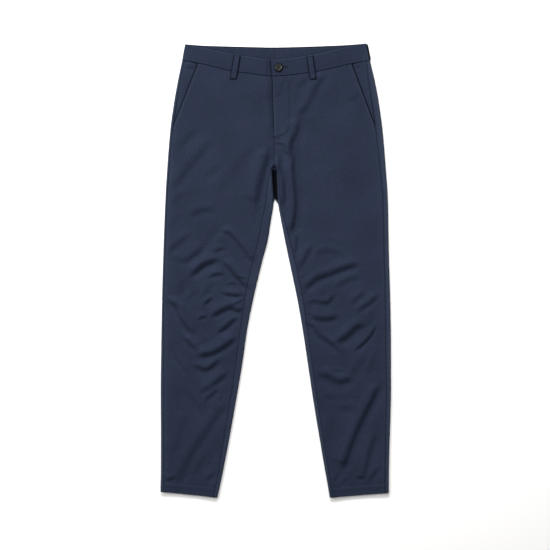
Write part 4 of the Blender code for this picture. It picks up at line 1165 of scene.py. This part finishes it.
for side, sign in SIDES.items():
    (top_y, low_y), (top_p, low_p) = POCKET_MOUTH[side].values()
    bm = bmesh.new()
    mouth_y = np.linspace(top_y - 1.0, low_y - 6.0, 30)
    slant = math.cos(math.atan2(low_p - top_p, top_y - low_y))
    mouth_p = pocket_mouth(side, mouth_y) - MOUTH_SEW / slant
    sew(bm, on_front(np.stack([sign * mouth_p, mouth_y], axis=1)))
    seam_p = float(side_seam(side, low_y - 5.0))
    tack_front(bm, (sign * (seam_p - 9.0), low_y - 6.5), (sign * (seam_p - 1.5), low_y - 5.0))
    high_y = float(waistline("front_seam", sign * top_p)) - 4.0
    high_p = float(pocket_mouth(side, high_y))
    tack_front(bm, (sign * (high_p - 8.0), high_y - 1.2), (sign * (high_p - 1.2), high_y))
    finish_sewing(side + "_pocket_stitching", bm, "navy_thread")

    bm = bmesh.new()
    across = np.linspace(HEM_LINE[side]["p"][0] - 1.0, HEM_LINE[side]["p"][1] - 2.0, 60)
    hem_y = hem_line(side, across) + HEM_DEPTH - HEM_SEW
    sew(bm, on_front(np.stack([sign * across, hem_y], axis=1)))
    sew(bm, skin(sign * across, hem_y, 0.16), DOWN)
    finish_sewing(side + "_hem_stitching", bm, "navy_thread")

bm = bmesh.new()
# The J is sewn in the dark thread, its lower curve with close, thick stitches that also stand in for the
# shade of the pulled seam.
sew(bm, on_front(smooth_way(FLY_SEW[:4])), pitch=2.8, thick=0.4)
sew(bm, on_front(smooth_way(FLY_SEW[3:])), pitch=1.9, thick=0.7)
tack_front(bm, (-5.6, 308.0), (1.0, 308.8), 1.9)
finish_sewing("fly_stitching", bm)

bm = bmesh.new()
for name, (node, under, facing, place) in LOOP_PLACES.items():
    for across in (LOOP_SEW - LOOP_WIDTH / 2.0, LOOP_WIDTH / 2.0 - LOOP_SEW):
        sew(bm, place(across, np.linspace(0.04, 0.96, 30), LOOP - SEW_SINK + 0.02), facing, pitch=3.0)
    if node.startswith("loop_front"):
        for share in (0.06, 0.93):
            bar_tack(bm, *place(np.array([-5.6, 5.6]), share, LOOP + 0.02), 1.5)
finish_sewing("loop_stitching", bm)

# Buttonhole and button. Close whipping stitches line the hole across the lap of the waistband, with painted
# shade between them for the cut. The button is turned from dark horn, with a rolled rim and four holes, and
# sewn on with crossed navy thread.
BUTTON_THICK = 3.0
BUTTON_CLEAR = 0.6     # it stands this far off the band
BUTTON_PROFILE = ((0.0, 0.0), (0.80, 0.0), (0.90, 0.03), (0.96, 0.14), (1.0, 0.42), (0.985, 0.66),
                  (0.94, 0.86), (0.88, 0.97), (0.81, 1.0), (0.75, 0.96), (0.70, 0.84), (0.65, 0.70),
                  (0.60, 0.63), (0.45, 0.60), (0.20, 0.58), (0.0, 0.58))
BUTTON_RIM = (0.84, 0.93)      # dark rim from these shares of the radius: partly the horn's own edge, partly painted shade
HOLE_RADIUS = 0.95
HOLE_OFF = 1.75        # from the button's middle lines to its holes
PURL = 0.62            # from one whipping stitch to the next
PURL_LONG = 1.25
PURL_THREAD = 0.36
SLIT = 0.22            # half the cut's width

horn = new_material("dark_horn")
horn_spot = add_node(horn, "TexCoord", "Object")
horn_run = add_node(horn, "Mapping", "Vector", Vector=horn_spot, Rotation=(0.0, 0.0, 0.6),
                    Scale=(1.0, 0.35, 1.0))
mottle = noise(horn, horn_run, 260.0, 3.0, Distortion=0.8)
horn_colour = mixed(horn, ranged(horn, mottle, 0.35, 0.7), (0.012, 0.0122, 0.0118, 1.0),
                    (0.038, 0.0375, 0.0352, 1.0))
from_middle = add_node(horn, "Mapping", "Vector", Vector=horn_spot,
                       Location=(-BUTTON_X * MM, -BUTTON_Y * MM, 0.0), Scale=(1.0, 1.0, 0.0))
out_share = add_node(horn, "VectorMath", "Value", {"operation": "LENGTH"}, Vector=from_middle)
# Dark rim on the horn, partly its own edge and partly painted shade.
rim_start, rim_dark = (share * BUTTON_RADIUS * MM for share in BUTTON_RIM)
rimmed_and_shaded = mixed(horn, 1.0, horn_colour, ranged(horn, out_share, rim_start, rim_dark, 1.0, 0.08), "MULTIPLY")
set_shader(horn, Base_Color=rimmed_and_shaded, Roughness=ranged(horn, mottle, 0.0, 1.0, 0.22, 0.34),
           Normal=bumped(horn, noise(horn, horn_spot, 1500.0), 0.25, 0.03), Specular_IOR_Level=0.4,
           Coat_Weight=0.3, Coat_Roughness=0.2)

rim_turn = np.linspace(0.0, 2.0 * math.pi, 24)
rim_x, rim_y = BUTTON_X + BUTTON_RADIUS * np.cos(rim_turn), BUTTON_Y + BUTTON_RADIUS * np.sin(rim_turn)
under_button = height(rim_x, np.minimum(rim_y, waistline("front_seam", rim_x)))
button_base = float(np.max(under_button)) + BAND_PROUD + BUTTON_CLEAR
bm = bmesh.new()
rim = [bm.verts.new((BUTTON_RADIUS * out * MM, 0.0, BUTTON_THICK * up * MM)) for out, up in BUTTON_PROFILE]
line = [bm.edges.new(pair) for pair in zip(rim, rim[1:])]
bmesh.ops.spin(bm, geom=rim + line, cent=(0, 0, 0), axis=UP, angle=2.0 * math.pi, steps=64, use_merge=True)
bmesh.ops.remove_doubles(bm, verts=bm.verts, dist=0.001 * MM)
bmesh.ops.translate(bm, verts=bm.verts, vec=Vector((BUTTON_X, BUTTON_Y, button_base)) * MM)
bmesh.ops.recalc_face_normals(bm, faces=bm.faces)
button = make_piece("horn_button", bm)

bm = bmesh.new()
HOLE_PLACES = [Vector((BUTTON_X + across, BUTTON_Y + along, button_base))
               for across in (-HOLE_OFF, HOLE_OFF) for along in (-HOLE_OFF, HOLE_OFF)]
for hole in HOLE_PLACES:
    middle = (hole + Vector(UP) * BUTTON_THICK / 2.0) * MM
    bmesh.ops.create_cone(bm, cap_ends=True, segments=20, radius1=HOLE_RADIUS * MM,
                          radius2=1.12 * HOLE_RADIUS * MM, depth=2.0 * BUTTON_THICK * MM,
                          matrix=Matrix.Translation(middle))
drill = make_piece("drill", bm)
holes = button.modifiers.new("holes", "BOOLEAN")
holes.operation = "DIFFERENCE"
holes.object = drill
drilled = bpy.data.meshes.new_from_object(button.evaluated_get(bpy.context.evaluated_depsgraph_get()))
button.modifiers.remove(holes)
button.data = drilled
bpy.data.objects.remove(drill)
drilled.name = "horn_button"
drilled.shade_smooth()
drilled.set_sharp_from_angle(angle=math.radians(38))
drilled.materials.clear()
drilled.materials.append(horn)
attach(button, "root")
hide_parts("button")

bm = bmesh.new()
cross_rise = Vector(UP) * (0.58 * BUTTON_THICK + 0.25)
for start, end in ((HOLE_PLACES[0], HOLE_PLACES[3]), (HOLE_PLACES[1], HOLE_PLACES[2])):
    for nudge in (-0.42, -0.14, 0.14, 0.42):
        aside = Vector(UP).cross(end - start).normalized() * nudge
        add_stitch(bm, start + cross_rise + aside, end + cross_rise + aside, thick=0.34)
for hole in HOLE_PLACES:
    foot, top = -BUTTON_CLEAR, 0.62 * BUTTON_THICK
    add_stitch(bm, hole + Vector(UP) * foot, hole + Vector(UP) * top, (1, 0, 0), thick=0.62)
finish_sewing("button_thread", bm)

bm = bmesh.new()
purl_x = np.arange(BUTTON_X - 2.0, BUTTONHOLE_END, PURL)
purl_z = band_face(purl_x, 0.5) + 0.06
for row in (-1.0, 1.0):
    for at, rise in zip(purl_x, purl_z):
        near, far = (Vector((at, BUTTONHOLE_Y + row * way, rise)) for way in (SLIT, SLIT + PURL_LONG))
        add_stitch(bm, near, far, thick=PURL_THREAD)
eye = Vector((BUTTONHOLE_END, BUTTONHOLE_Y, float(band_face(BUTTONHOLE_END, 0.5)) + 0.06))
for turn in np.radians(np.linspace(-80.0, 80.0, 9)):
    spoke = Vector((math.cos(turn), math.sin(turn), 0.0))
    add_stitch(bm, eye + 0.5 * spoke, eye + (0.5 + 0.8 * PURL_LONG) * spoke, thick=PURL_THREAD)
finish_sewing("buttonhole_stitching", bm)

bpy.context.view_layer.update()
